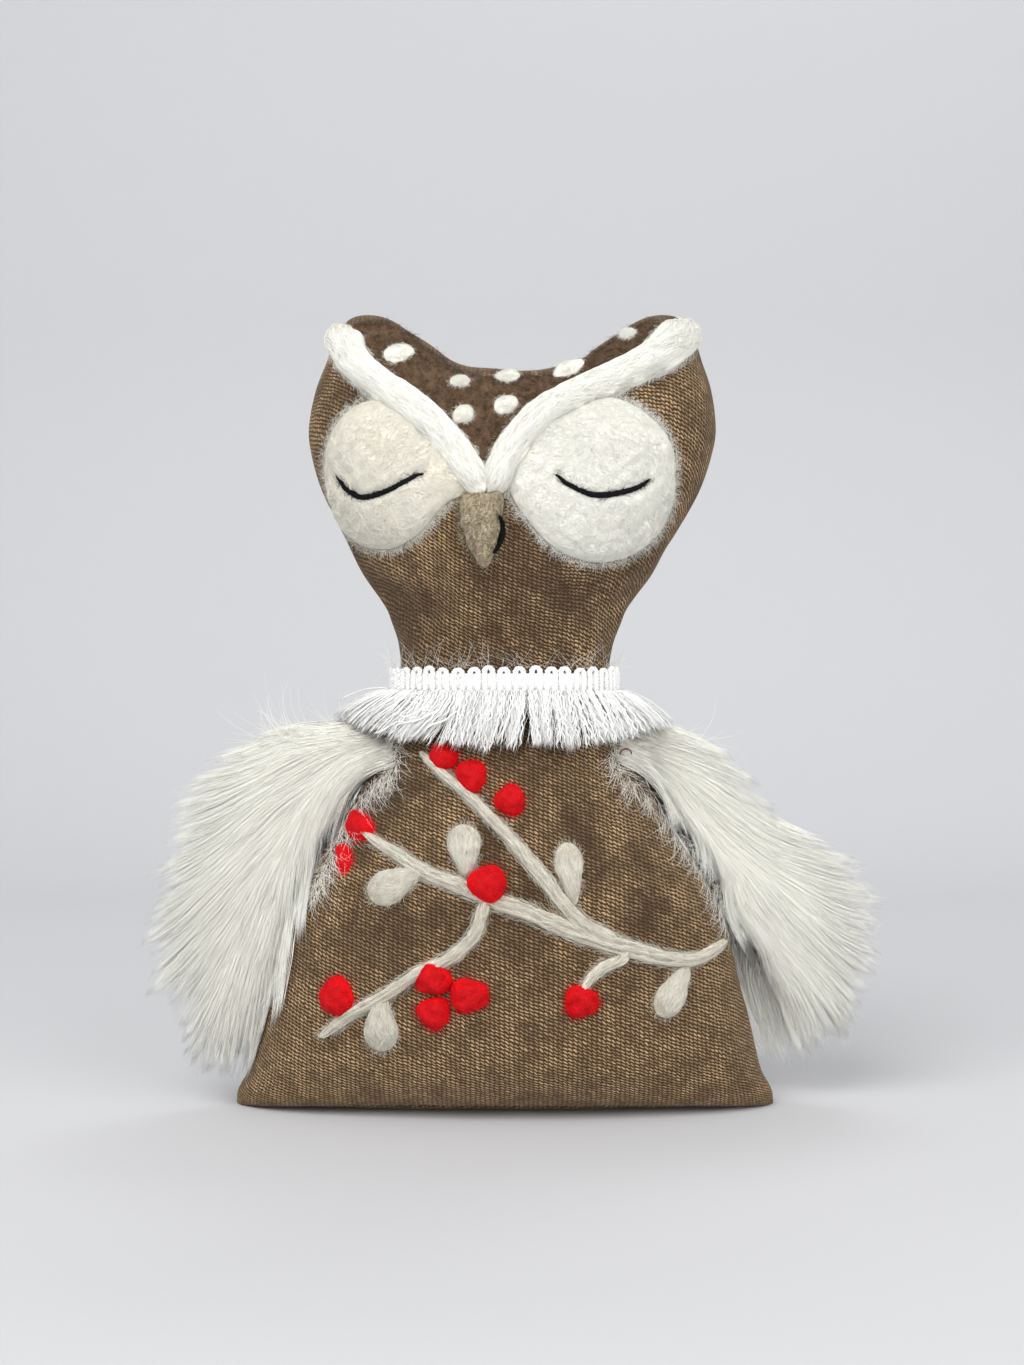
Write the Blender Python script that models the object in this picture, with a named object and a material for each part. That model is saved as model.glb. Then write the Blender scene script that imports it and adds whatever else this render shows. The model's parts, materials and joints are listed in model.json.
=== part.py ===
"""A plush owl: a stuffed cloth head and torso, a felted wool face and berry sprig, a fringed
collar round the neck, and two faux fur wings. Metres, +Z up. The owl faces -Y, and left and
right are as seen from the front. The origin is the middle of the flat base, on the floor.
"""

import math

import bmesh
import bpy
from mathutils import Vector

# The stuffed toy's outline
EAR_HEIGHT = 0.2568  # floor to the ear tips
CROWN_DIP = 0.0185  # how far the crown drops between the ears
NECK_HEIGHT = 0.1400  # floor to the waist of the neck
BASE_HALF_WIDTH = 0.0875
NECK_HALF_WIDTH = 0.0342
HEAD_HALF_WIDTH = 0.0668
BASE_HALF_DEPTH = 0.0200
TORSO_HALF_DEPTH = 0.0375
NECK_HALF_DEPTH = 0.0245
HEAD_HALF_DEPTH = 0.0350
FOOT_ROUNDING = 0.0220  # height over which the cloth curls under to the base
HEAD_LEAN = 0.0034  # how far the ears stand to the right of the base's middle

# Cloth, filling and clearances
SKIN = 0.0016  # thickness of the velour
SEAM_GAP = 0.0003  # between two sewn edges
FILL_GAP = 0.0007  # between the cloth and what it holds

# The neck, which bends on a lobe of filling that stands up into the head
JOINT_DROP = 0.0022  # how far the joint lies below the waist of the neck
JOINT_HEIGHT = NECK_HEIGHT - JOINT_DROP
NOD_LIMIT = math.radians(10.0)  # either way
JOINT_GAP = 0.0009  # between the lobe and the head's filling
FILL_RISE = 0.0110  # how far above the joint the head's filling starts

# The pouch of pellets that weights the base
POUCH_HALF_LENGTH = 0.0560
POUCH_HALF_DEPTH = 0.0150
POUCH_HEIGHT = 0.0120
POUCH_END_SHARE = 0.82  # how far its top and bottom reach, of its middle

# The collar: a looped braid and the fringe below it
BAND_HEIGHT = 0.0075
BAND_THICKNESS = 0.0018
BAND_SIDE_CLEARANCE = 0.0005
BAND_NOD_CLEARANCE = 0.0011  # at front and back, where the head swings
BAND_RIB = 0.0006  # how far each loop of the braid stands proud
FRINGE_LENGTH = 0.0185
FRINGE_SIDE_RISE = 0.0035  # the fringe is this much shorter over the shoulders
FRINGE_SIDE_SPREAD = 0.0120
FRINGE_FRONT_SPREAD = 0.0050
FRINGE_THICKNESS = 0.0022
FRINGE_HEM = 0.0040  # thickness at the cut ends
FRINGE_TUFT = 0.0009  # depth of the grooves between tufts
FRINGE_FLARE_SHARE = 0.6  # of the spread, reached halfway down
COLLAR_LOOPS = 36

# The wings
WING_REACH = 0.1085  # shoulder to wing tip
WING_DROP = 0.0318  # how far below the joint the wings are sewn on
WING_SEAT = 0.0005  # between a wing and the torso's side
WING_ROOT = 0.0012  # where the fan of the wing starts, from its hinge
LEFT_WING_FORWARD = 0.0070
RIGHT_WING_BACK = 0.0040
PILE_HEIGHT = 0.0120  # of the fur on each face of the wing
PILE_EDGE = 0.0024
BACKING = 0.0022  # the two fur cloths, sewn back to back
BACKING_INSET = 0.0120  # how far the fur reaches past its cloth
BACKING_MARGIN_SHARE = 0.3  # most of the fan's angle that the inset takes from each side

# Felted wool and stitches
FELT_SEAT = 0.0005  # between a felted piece and what it is felted to
FELT_SPACE = 0.0006  # between two felted pieces side by side
LEAST_REACH_SHARE = 0.35  # what a felted piece keeps of its reach beside another
RIBBON_END_SHARE = 0.6  # how wide and full a felted strip is at its ends
WOOL_EDGE = 0.0008  # thickness at the rim of a felted piece
EYE_CROWN = 0.0036
LEFT_EYE_HALF_WIDTH = 0.0198
LEFT_EYE_HALF_HEIGHT = 0.0235
RIGHT_EYE_HALF_WIDTH = 0.0238
RIGHT_EYE_HALF_HEIGHT = 0.0250
BROW_HALF_WIDTH = 0.0045
BROW_CROWN = 0.0046
PATCH_CROWN = 0.0011
PATCH_MARGIN = 0.0028  # from the patch to the crown's seam
DOT_CROWN = 0.0018
BEAK_LENGTH = 0.0235
BEAK_HALF_WIDTH = 0.0062
BEAK_CROWN = 0.0070
BEAK_STITCH_HALF_WIDTH = 0.0009
BEAK_STITCH_CROWN = 0.0014
LID_HALF_WIDTH = 0.0010
LID_CROWN = 0.0015
TWIG_CROWN = 0.0020
THICK_TWIG = 0.0025  # half widths of the sprig's twigs
THIN_TWIG = 0.0015
LEAF_LENGTH = 0.0165
LEAF_HALF_WIDTH = 0.0044
LEAF_CROWN = 0.0022
BERRY_RADIUS = 0.0052
BERRY_CROWN = 0.0040

# How finely the cloth is divided
COLUMNS = 14
FOOT_ROWS = 4
TORSO_ROWS = 8
FACE_ROWS = 7
CROWN_ROWS = 6
LOBE_ROWS = 5
NECK_CLOSENESS = 1.35  # over 1, the torso's rows stand closer near the neck
WING_COLUMNS = 6

SIDE_POWER = 2.4  # roundness of the cloth from seam to seam, 2 for an ellipse
CROWN_POWER = 2.4
CROWN_START_SHARE = 0.40  # of the head's height, above which the crown draws in

# Half width of the torso: share of the neck's height, share of the way from neck to base
TORSO_WIDTH_SHARES = [
    (0.0, 1.0), (0.03, 0.99), (0.07, 0.93), (0.14, 0.88), (0.23, 0.83), (0.33, 0.77),
    (0.42, 0.72), (0.47, 0.67), (0.51, 0.61), (0.56, 0.53), (0.61, 0.43), (0.66, 0.34),
    (0.71, 0.255), (0.80, 0.145), (0.89, 0.06), (0.96, 0.01), (1.0, 0.0),
]
# Half width of the head: share of the head's height, share of the way from neck to head
HEAD_WIDTH_SHARES = [
    (0.0, 0.0), (0.09, 0.02), (0.15, 0.09), (0.21, 0.19), (0.30, 0.42), (0.43, 0.67),
    (0.545, 0.87), (0.66, 0.985), (0.72, 1.0), (0.83, 0.93), (0.92, 0.82), (1.0, 0.74),
]
TORSO_DEPTH_SHARES = [(0.0, 0.80), (0.12, 0.90), (0.30, 1.0), (0.52, 0.86), (0.75, 0.42), (1.0, 0.0)]
HEAD_DEPTH_SHARES = [(0.0, 0.0), (0.10, 0.06), (0.25, 0.45), (0.42, 0.88), (0.60, 1.0), (1.0, 0.92)]
# The crown's seam: share of the head's half width, share of the dip regained there
CROWN_SHARES = [
    (0.0, 0.0), (0.20, 0.03), (0.33, 0.12), (0.45, 0.40), (0.57, 0.66), (0.72, 0.93),
    (0.84, 1.0), (0.93, 0.93), (1.0, 0.68),
]

# The wings as fans about their hinges: share of the reach, and the upper and lower edges
# in degrees from level. The torso's side holds the lower edge where it comes closer.
LEFT_WING_SHARES = [
    (0.0, -36, -62), (0.08, -27, -62), (0.14, -19, -62), (0.20, -5, -62), (0.27, 11, -62),
    (0.34, 16, -63), (0.43, 10, -63), (0.54, -1, -64), (0.62, -10, -65), (0.70, -22, -66),
    (0.78, -31, -67), (0.86, -38, -67), (0.93, -47, -67), (1.0, -60, -66),
]
RIGHT_WING_SHARES = [
    (0.0, -36, -60), (0.08, -27, -60), (0.14, -19, -60), (0.20, 0, -60), (0.28, 5, -60),
    (0.36, -4, -60), (0.44, -15, -59), (0.54, -20, -58), (0.66, -21, -57), (0.76, -24, -57),
    (0.84, -31, -57), (0.90, -38, -57), (0.95, -45, -58), (1.0, -54, -59),
]
PILE_SHARES = [(0.0, 0.22), (0.12, 0.62), (0.35, 1.0), (0.72, 0.92), (0.92, 0.55), (1.0, 0.2)]

# Places on the face: share of the head's half width, share of the way up to the crown's seam
LEFT_EYE_SHARES = (-0.543, 0.547)
RIGHT_EYE_SHARES = (0.428, 0.569)
LEFT_BROW_SHARES = [
    (-0.74, 0.892), (-0.70, 0.833), (-0.59, 0.803), (-0.455, 0.783), (-0.33, 0.755),
    (-0.23, 0.692), (-0.165, 0.622),
]
RIGHT_BROW_SHARES = [
    (0.79, 0.887), (0.70, 0.843), (0.515, 0.837), (0.35, 0.849), (0.19, 0.813),
    (0.08, 0.746), (0.01, 0.672), (-0.03, 0.611),
]
LEFT_LID_SHARES = [
    (-0.75, 0.513), (-0.705, 0.485), (-0.645, 0.471), (-0.53, 0.506), (-0.385, 0.586),
]
RIGHT_LID_SHARES = [(0.235, 0.616), (0.29, 0.578), (0.385, 0.529), (0.52, 0.506), (0.65, 0.523)]
DOT_SHARES = [  # across, up, half width and half height, both in shares of the head's half width
    (-0.49, 0.919, 0.060, 0.045), (-0.205, 0.907, 0.047, 0.030), (0.012, 0.917, 0.055, 0.030),
    (0.005, 0.840, 0.050, 0.042), (-0.185, 0.818, 0.048, 0.038), (0.285, 0.938, 0.085, 0.032),
    (0.565, 0.958, 0.036, 0.024),
]
BEAK_SHARES = (-0.105, 0.448)
BEAK_STITCH_SHARES = [(0.022, 0.475), (0.026, 0.427), (-0.012, 0.368)]
BEAK_ROOM_SHARES = [  # what the eye discs keep clear of: up the beak, half width
    (0.38, 0.9), (0.2, 0.8), (0.0, 0.7), (-0.2, 0.55), (-0.38, 0.35),
]
BEAK_TAPER_SHARE = 0.38  # how much the beak widens upwards and narrows downwards
BEAK_SIDE_POWER = 0.6  # under 1, fuller at its sides

# Places on the torso: share of the base's half width, share of the neck's height
MAIN_TWIG_SHARES = [
    (0.745, 0.371), (0.675, 0.357), (0.576, 0.364), (0.392, 0.399), (0.244, 0.430),
    (0.106, 0.466), (-0.028, 0.496), (-0.166, 0.532), (-0.279, 0.558), (-0.388, 0.598),
    (-0.462, 0.620),
]
UPPER_TWIG_SHARES = [
    (-0.297, 0.820), (-0.230, 0.778), (-0.131, 0.728), (-0.004, 0.647), (0.106, 0.569),
    (0.194, 0.501), (0.235, 0.473),
]
LOWER_TWIG_SHARES = [
    (-0.075, 0.474), (-0.106, 0.424), (-0.180, 0.377), (-0.304, 0.338), (-0.413, 0.291),
    (-0.537, 0.245), (-0.650, 0.190),
]
SMALL_TWIG_SHARES = [(0.410, 0.366), (0.341, 0.349), (0.300, 0.325)]
LEAF_SHARES = [  # where each leaf starts, and the way it points in degrees from +X
    (-0.305, 0.536, 206), (-0.134, 0.563, 96), (0.226, 0.510, 98), (-0.437, 0.262, 270),
    (0.630, 0.330, 243),
]
LEAF_ROOM_SHARES = [  # what a berry keeps clear of: along the leaf, half width
    (-0.35, 0.6), (-0.18, 0.9), (0.0, 1.0), (0.18, 0.95), (0.35, 0.7),
]
LEAF_TIP_SHARE = 0.2  # how much wider a leaf is towards its tip
BERRY_SHARES = [  # across, up, and share of a full berry's radius
    (-0.210, 0.806, 0.75), (-0.105, 0.768, 0.90), (0.034, 0.716, 0.87), (-0.522, 0.649, 0.78),
    (-0.582, 0.584, 0.62), (-0.060, 0.534, 1.0), (-0.243, 0.312, 1.0), (-0.118, 0.289, 1.0),
    (-0.235, 0.236, 0.95), (-0.593, 0.285, 1.0), (0.267, 0.275, 0.95),
]
BERRY_ON_TWIG = 5  # this berry is felted over the main twig

BROWN_VELOUR = (0.148, 0.092, 0.055)
DARK_FELT = (0.082, 0.047, 0.030)
IVORY_WOOL = (0.78, 0.75, 0.68)
TWIG_WOOL = (0.72, 0.66, 0.58)
RED_WOOL = (0.56, 0.010, 0.014)
BEAK_FELT = (0.25, 0.20, 0.14)
BLACK_THREAD = (0.012, 0.012, 0.014)
WHITE_TRIM = (0.85, 0.85, 0.87)
WHITE_FUR = (0.83, 0.83, 0.80)
FUR_CLOTH = (0.30, 0.28, 0.26)
FIBREFILL = (0.85, 0.85, 0.83)
PELLET_CLOTH = (0.55, 0.52, 0.46)


def read_shares(shares, place, column=1):
    """Read a table of shares at a place, along a smooth curve through its rows."""
    if place <= shares[0][0]:
        return shares[0][column]
    for index in range(len(shares) - 1):
        if place <= shares[index + 1][0]:
            break
    else:
        return shares[-1][column]
    before = shares[max(index - 1, 0)]
    start = shares[index]
    end = shares[index + 1]
    after = shares[min(index + 2, len(shares) - 1)]
    run = end[0] - start[0]
    part = (place - start[0]) / run
    start_slope = run * (end[column] - before[column]) / (end[0] - before[0])
    end_slope = run * (after[column] - start[column]) / (after[0] - start[0])
    square = part * part
    cube = square * part
    return (
        (2 * cube - 3 * square + 1) * start[column]
        + (cube - 2 * square + part) * start_slope
        + (3 * square - 2 * cube) * end[column]
        + (cube - square) * end_slope
    )


def signed_power(value, power):
    return math.copysign(abs(value) ** power, value)


def bulge(across, power=SIDE_POWER):
    """Depth at a share of the way from the middle to the seam, as a share of full depth."""
    return max(1.0 - abs(across) ** power, 0.0) ** (1.0 / power)


def torso_half_width(height):
    share = read_shares(TORSO_WIDTH_SHARES, height / NECK_HEIGHT)
    return NECK_HALF_WIDTH + (BASE_HALF_WIDTH - NECK_HALF_WIDTH) * share


def torso_half_depth(height):
    share = read_shares(TORSO_DEPTH_SHARES, height / NECK_HEIGHT)
    full = NECK_HALF_DEPTH + (TORSO_HALF_DEPTH - NECK_HALF_DEPTH) * share
    if height >= FOOT_ROUNDING:
        return full
    curl = 1.0 - height / FOOT_ROUNDING
    return BASE_HALF_DEPTH + (full - BASE_HALF_DEPTH) * math.sqrt(1.0 - curl * curl)


def torso_point(across, height, inset=0.0):
    """A point of the torso's cloth, or inside it by an inset, as (x, depth, z)."""
    width = torso_half_width(height) - inset
    depth = torso_half_depth(height) - inset
    lift = inset * max(1.0 - height / FOOT_ROUNDING, 0.0)
    return Vector((width * across, depth * bulge(across), height + lift))


def crown_height(across):
    """Height of the crown's seam above the neck."""
    return EAR_HEIGHT - NECK_HEIGHT - CROWN_DIP * (1.0 - read_shares(CROWN_SHARES, abs(across)))


def head_point(across, share, inset=0.0):
    """A point of the head's cloth, or inside it, with share from 0 at the neck to 1."""
    width = NECK_HALF_WIDTH + (HEAD_HALF_WIDTH - NECK_HALF_WIDTH) * read_shares(HEAD_WIDTH_SHARES, share)
    depth = NECK_HALF_DEPTH + (HEAD_HALF_DEPTH - NECK_HALF_DEPTH) * read_shares(HEAD_DEPTH_SHARES, share)
    drawn_in = bulge(max(share - CROWN_START_SHARE, 0.0) / (1.0 - CROWN_START_SHARE), CROWN_POWER)
    height = NECK_HEIGHT + share * (crown_height(across) - inset)
    lean = HEAD_LEAN * share
    return Vector((lean + (width - inset) * across, (depth - inset) * bulge(across) * drawn_in, height))


def cloth_depth(x, z):
    """Depth of the cloth in front of the side seams, at a place seen from the front."""
    if z <= NECK_HEIGHT:
        return torso_half_depth(z) * bulge(min(abs(x) / torso_half_width(z), 1.0))
    low = 0.0
    high = 1.0
    for _ in range(30):
        share = (low + high) / 2.0
        edge = head_point(1.0, share).x - HEAD_LEAN * share
        across = max(min((x - HEAD_LEAN * share) / edge, 1.0), -1.0)
        if head_point(across, share).z < z:
            low = share
        else:
            high = share
    return head_point(across, share).y


def on_front(x, z, height):
    """The point at a height above the front cloth, square to it."""
    step = SKIN / 4.0
    depth = cloth_depth(x, z)
    slope_x = (cloth_depth(x + step, z) - cloth_depth(x - step, z)) / (2.0 * step)
    slope_z = (cloth_depth(x, z + step) - cloth_depth(x, z - step)) / (2.0 * step)
    normal = Vector((-slope_x, 1.0, -slope_z)).normalized()
    place = Vector((x, depth + SEAM_GAP / 2.0, z)) + normal * height
    return Vector((place.x, -place.y, place.z))


def column_places():
    """Places from seam to seam, closer together towards the seams."""
    turns = [math.pi * index / COLUMNS - math.pi / 2.0 for index in range(COLUMNS + 1)]
    return [signed_power(math.sin(turn), 2.0 / SIDE_POWER) for turn in turns]


def torso_grid(inset=0.0):
    heights = []
    for row in range(FOOT_ROWS):
        heights.append(FOOT_ROUNDING * (1.0 - math.cos(math.pi / 2.0 * row / FOOT_ROWS)))
    top = JOINT_HEIGHT - SEAM_GAP
    for row in range(TORSO_ROWS + 1):
        rise = 1.0 - (1.0 - row / TORSO_ROWS) ** NECK_CLOSENESS
        heights.append(FOOT_ROUNDING + (top - FOOT_ROUNDING) * rise)
    return [[torso_point(across, height, inset) for across in column_places()] for height in heights]


def head_grid(start_height, inset=0.0):
    start = (start_height - NECK_HEIGHT) / crown_height(0.0)
    shares = [start + (CROWN_START_SHARE - start) * row / FACE_ROWS for row in range(FACE_ROWS)]
    for row in range(CROWN_ROWS + 1):
        rise = math.sin(math.pi / 2.0 * row / CROWN_ROWS) ** (2.0 / CROWN_POWER)
        shares.append(CROWN_START_SHARE + (1.0 - CROWN_START_SHARE) * rise)
    grid = [[head_point(across, share, inset) for across in column_places()] for share in shares]
    for point in grid[0]:
        point.z = start_height
    return grid


def face_side(grid, side):
    """Turn (x, depth, z) points into real ones, in front for -1 and behind for 1."""
    return [[Vector((p.x, side * (SEAM_GAP / 2.0 + p.y), p.z)) for p in row] for row in grid]


def finish_mesh(name, mesh_data, material, parent=None, sharp=math.radians(50.0)):
    """Weld, face outwards and shade a closed mesh, and hang it on its joint's empty."""
    bmesh.ops.remove_doubles(mesh_data, verts=mesh_data.verts, dist=SEAM_GAP / 100.0)
    bmesh.ops.recalc_face_normals(mesh_data, faces=mesh_data.faces)
    if parent:
        bmesh.ops.translate(mesh_data, verts=mesh_data.verts, vec=-parent.location)
    mesh = bpy.data.meshes.new(name)
    mesh_data.to_mesh(mesh)
    mesh_data.free()
    mesh.materials.append(material)
    mesh.shade_smooth()
    mesh.set_sharp_from_angle(angle=sharp)
    piece = bpy.data.objects.new(name, mesh)
    bpy.context.scene.collection.objects.link(piece)
    piece.parent = parent
    return piece


def add_grid(mesh_data, grid):
    """Add a grid's faces and return its vertices."""
    verts = [[mesh_data.verts.new(point) for point in row] for row in grid]
    for low, high in zip(verts, verts[1:]):
        for index in range(len(low) - 1):
            mesh_data.faces.new((low[index], low[index + 1], high[index + 1], high[index]))
    return verts


def sheet_solid(name, upper, lower, material, parent=None):
    """A closed solid between two grids of the same size."""
    mesh_data = bmesh.new()
    sheets = [add_grid(mesh_data, upper), add_grid(mesh_data, lower)]
    rims = []
    for verts in sheets:
        right = [row[-1] for row in verts[1:]]
        top = verts[-1][-2::-1]
        left = [row[0] for row in verts[-2:0:-1]]
        rims.append(verts[0] + right + top + left)
    for index in range(len(rims[0])):
        mesh_data.faces.new((rims[0][index - 1], rims[0][index], rims[1][index], rims[1][index - 1]))
    return finish_mesh(name, mesh_data, material, parent)


def loft_solid(name, loops, material, parent=None, ring=False, close_end=True):
    """A closed solid through loops of points. A ring joins its last loop to its first."""
    mesh_data = bmesh.new()
    verts = [[mesh_data.verts.new(point) for point in loop] for loop in loops]
    pairs = list(zip(verts, verts[1:]))
    if ring:
        pairs.append((verts[-1], verts[0]))
    for low, high in pairs:
        for index in range(len(low)):
            mesh_data.faces.new((low[index - 1], low[index], high[index], high[index - 1]))
    if not ring:
        mesh_data.faces.new(verts[0])
        if close_end:
            mesh_data.faces.new(verts[-1])
    return finish_mesh(name, mesh_data, material, parent)


def round_loop(half_width, half_depth, height, count, power=SIDE_POWER):
    """A level loop round the vertical axis, fuller than an ellipse."""
    loop = []
    for index in range(count):
        turn = 2.0 * math.pi * index / count
        x = half_width * signed_power(math.cos(turn), 2.0 / power)
        y = half_depth * signed_power(math.sin(turn), 2.0 / power)
        loop.append(Vector((x, y, height)))
    return loop


def grid_loop(row):
    """The level loop that a row of a cloth grid makes with its mirror image behind."""
    front = [Vector((p.x, -p.y, p.z)) for p in row]
    back = [Vector((p.x, p.y, p.z)) for p in reversed(row[1:-1])]
    return front + back


def lobe_loops(half_width, half_depth, start=0.0):
    """Loops of the neck's lobe, which is round about the joint's axis, from a height up."""
    loops = []
    start_turn = math.asin(start / half_depth)
    for row in range(LOBE_ROWS):
        turn = start_turn + (math.pi / 2.0 - start_turn) * row / LOBE_ROWS
        rise = half_depth * math.sin(turn)
        reach = half_width * bulge(rise / half_depth)
        line = []
        for across in column_places():
            x = reach * across
            round_radius = half_depth * bulge(x / half_width)
            depth = math.sqrt(max(round_radius ** 2 - rise ** 2, 0.0))
            line.append(Vector((x, depth, JOINT_HEIGHT + rise)))
        line[0].y = 0.0
        line[-1].y = 0.0
        loops.append(grid_loop(line))
    return loops


def make_materials():
    finishes = {
        "brown_velour": (BROWN_VELOUR, 0.9),
        "dark_felt": (DARK_FELT, 0.95),
        "ivory_wool": (IVORY_WOOL, 0.95),
        "twig_wool": (TWIG_WOOL, 0.95),
        "red_wool": (RED_WOOL, 0.85),
        "beak_felt": (BEAK_FELT, 0.9),
        "black_thread": (BLACK_THREAD, 0.5),
        "white_trim": (WHITE_TRIM, 0.35),
        "white_fur": (WHITE_FUR, 0.6),
        "fur_cloth": (FUR_CLOTH, 0.9),
        "fibrefill": (FIBREFILL, 0.95),
        "pellet_cloth": (PELLET_CLOTH, 0.9),
    }
    materials = {}
    for name, (colour, roughness) in finishes.items():
        material = bpy.data.materials.new(name)
        material.use_nodes = True
        shader = material.node_tree.nodes["Principled BSDF"]
        shader.inputs["Base Color"].default_value = (*colour, 1.0)
        shader.inputs["Roughness"].default_value = roughness
        shader.inputs["Metallic"].default_value = 0.0
        materials[name] = material
    return materials


def add_joint(name, place):
    empty = bpy.data.objects.new(name, None)
    empty.location = place
    empty.empty_display_size = PILE_HEIGHT
    bpy.context.scene.collection.objects.link(empty)
    return empty


def make_torso(materials):
    """Front and back cloth, the base, the filling with its lobe, and the pouch of pellets."""
    grid = torso_grid()
    inner = torso_grid(SKIN)
    for name, side in (("body_front_panel", -1), ("body_back_panel", 1)):
        sheet_solid(name, face_side(grid, side), face_side(inner, side), materials["brown_velour"])

    base_loops = []
    for height in (0.0, SKIN):  # its edge leans in by its own thickness
        base_width = BASE_HALF_WIDTH - SKIN - height
        base_depth = BASE_HALF_DEPTH - SEAM_GAP - SEAM_GAP / 2.0 - height
        base_loops.append(round_loop(base_width, base_depth, height, 2 * COLUMNS))
    loft_solid("base_panel", base_loops, materials["brown_velour"])

    pouch_floor = SKIN + FILL_GAP
    pouch_loops = []
    for row in range(FOOT_ROWS + 1):
        turn = math.pi * (row / FOOT_ROWS - 0.5)
        spread = POUCH_END_SHARE + (1.0 - POUCH_END_SHARE) * math.cos(turn)
        height = pouch_floor + POUCH_HEIGHT * (1.0 + math.sin(turn)) / 2.0
        length = POUCH_HALF_LENGTH * spread
        pouch_loops.append(round_loop(length, POUCH_HALF_DEPTH * spread, height, 2 * COLUMNS))
    loft_solid("pellet_pouch", pouch_loops, materials["pellet_cloth"])

    filling = torso_grid(SKIN + FILL_GAP)
    room_top = pouch_floor + POUCH_HEIGHT + FILL_GAP
    loops = []
    for height in (room_top, filling[0][0].z):
        row = []
        for across in column_places():
            x = (POUCH_HALF_LENGTH + FILL_GAP) * across
            row.append(Vector((x, (POUCH_HALF_DEPTH + FILL_GAP) * bulge(across), height)))
        loops.append(grid_loop(row))
    loops += [grid_loop(row) for row in filling[:-1]]
    lobe_width = NECK_HALF_WIDTH - SKIN - FILL_GAP
    lobe_depth = NECK_HALF_DEPTH - SKIN - FILL_GAP
    loops += lobe_loops(lobe_width, lobe_depth)
    loft_solid("body_stuffing", loops, materials["fibrefill"])


def make_head(materials, joint):
    """Front and back cloth, and the filling with a hollow that sits over the neck's lobe."""
    start = JOINT_HEIGHT + (NECK_HALF_DEPTH + SEAM_GAP) * math.tan(NOD_LIMIT) + SEAM_GAP
    grid = head_grid(start)
    inner = head_grid(start, SKIN)
    for name, side in (("head_front_panel", -1), ("head_back_panel", 1)):
        sheet_solid(name, face_side(grid, side), face_side(inner, side), materials["brown_velour"], joint)

    filling = head_grid(JOINT_HEIGHT + FILL_RISE, SKIN + FILL_GAP)
    hollow_width = NECK_HALF_WIDTH - SKIN - FILL_GAP + JOINT_GAP
    hollow_depth = NECK_HALF_DEPTH - SKIN - FILL_GAP + JOINT_GAP
    loops = list(reversed(lobe_loops(hollow_width, hollow_depth, FILL_RISE)))
    loops += [grid_loop(row) for row in filling]
    loft_solid("head_stuffing", loops, materials["fibrefill"], joint, close_end=False)


def collar_loop(turn, profile):
    """One section of the collar, from its (half width, half depth, height) corners."""
    x_share = signed_power(math.cos(turn), 2.0 / SIDE_POWER)
    y_share = signed_power(math.sin(turn), 2.0 / SIDE_POWER)
    return [Vector((wide * x_share, deep * y_share, height)) for wide, deep, height in profile]


def make_collar(materials):
    """The looped braid round the neck and the fringe that hangs from it."""
    low = JOINT_HEIGHT - BAND_HEIGHT / 2.0
    high = JOINT_HEIGHT + BAND_HEIGHT / 2.0
    inner_width = torso_half_width(low) + BAND_SIDE_CLEARANCE
    inner_depth = torso_half_depth(low) + BAND_NOD_CLEARANCE
    fringe_top = low - SEAM_GAP
    band = []
    fringe = []
    sections = 2 * COLLAR_LOOPS
    for index in range(sections):
        turn = 2.0 * math.pi * index / sections
        proud = index % 2
        thick = BAND_THICKNESS - BAND_RIB * (1 - proud)
        band.append(collar_loop(turn, [
            (inner_width, inner_depth, low), (inner_width + thick, inner_depth + thick, low),
            (inner_width + thick, inner_depth + thick, high), (inner_width, inner_depth, high),
        ]))
        side = math.cos(turn) ** 2
        hem = fringe_top - FRINGE_LENGTH + FRINGE_SIDE_RISE * side
        middle = (fringe_top + hem) / 2.0
        groove = FRINGE_TUFT * (1 - proud)
        corners = []
        for spread, height, thickness in (
            (0.0, fringe_top, FRINGE_THICKNESS),
            (FRINGE_FLARE_SHARE, middle, FRINGE_THICKNESS),
            (1.0, hem, FRINGE_HEM),
        ):
            wide = inner_width + FRINGE_SIDE_SPREAD * spread
            deep = inner_depth + FRINGE_FRONT_SPREAD * spread
            corners.insert(0, (wide, deep, height))
            corners.append((wide + thickness - groove, deep + thickness - groove, height))
        fringe.append(collar_loop(turn, corners))
    loft_solid("collar_band", band, materials["white_trim"], ring=True)
    loft_solid("collar_fringe", fringe, materials["white_trim"], ring=True)


def wing_hinge(side):
    """The point on the torso's side where a wing is sewn on."""
    height = JOINT_HEIGHT - WING_DROP
    out = torso_half_width(height) + WING_SEAT + WING_ROOT
    forward = LEFT_WING_FORWARD if side < 0 else -RIGHT_WING_BACK
    return Vector((side * out, -forward, height))


def clear_of_torso(hinge, reach, degrees):
    """The angle from level nearest to straight down that keeps the wing off the torso."""
    angle = math.radians(degrees)
    step = math.radians(0.25)
    while True:
        x = abs(hinge.x) + reach * math.cos(angle)
        z = hinge.z + reach * math.sin(angle)
        slope = (torso_half_width(z + SKIN) - torso_half_width(z - SKIN)) / (2.0 * SKIN)
        if x >= torso_half_width(z) + WING_SEAT * math.hypot(1.0, slope):
            return angle
        angle += step


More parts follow.
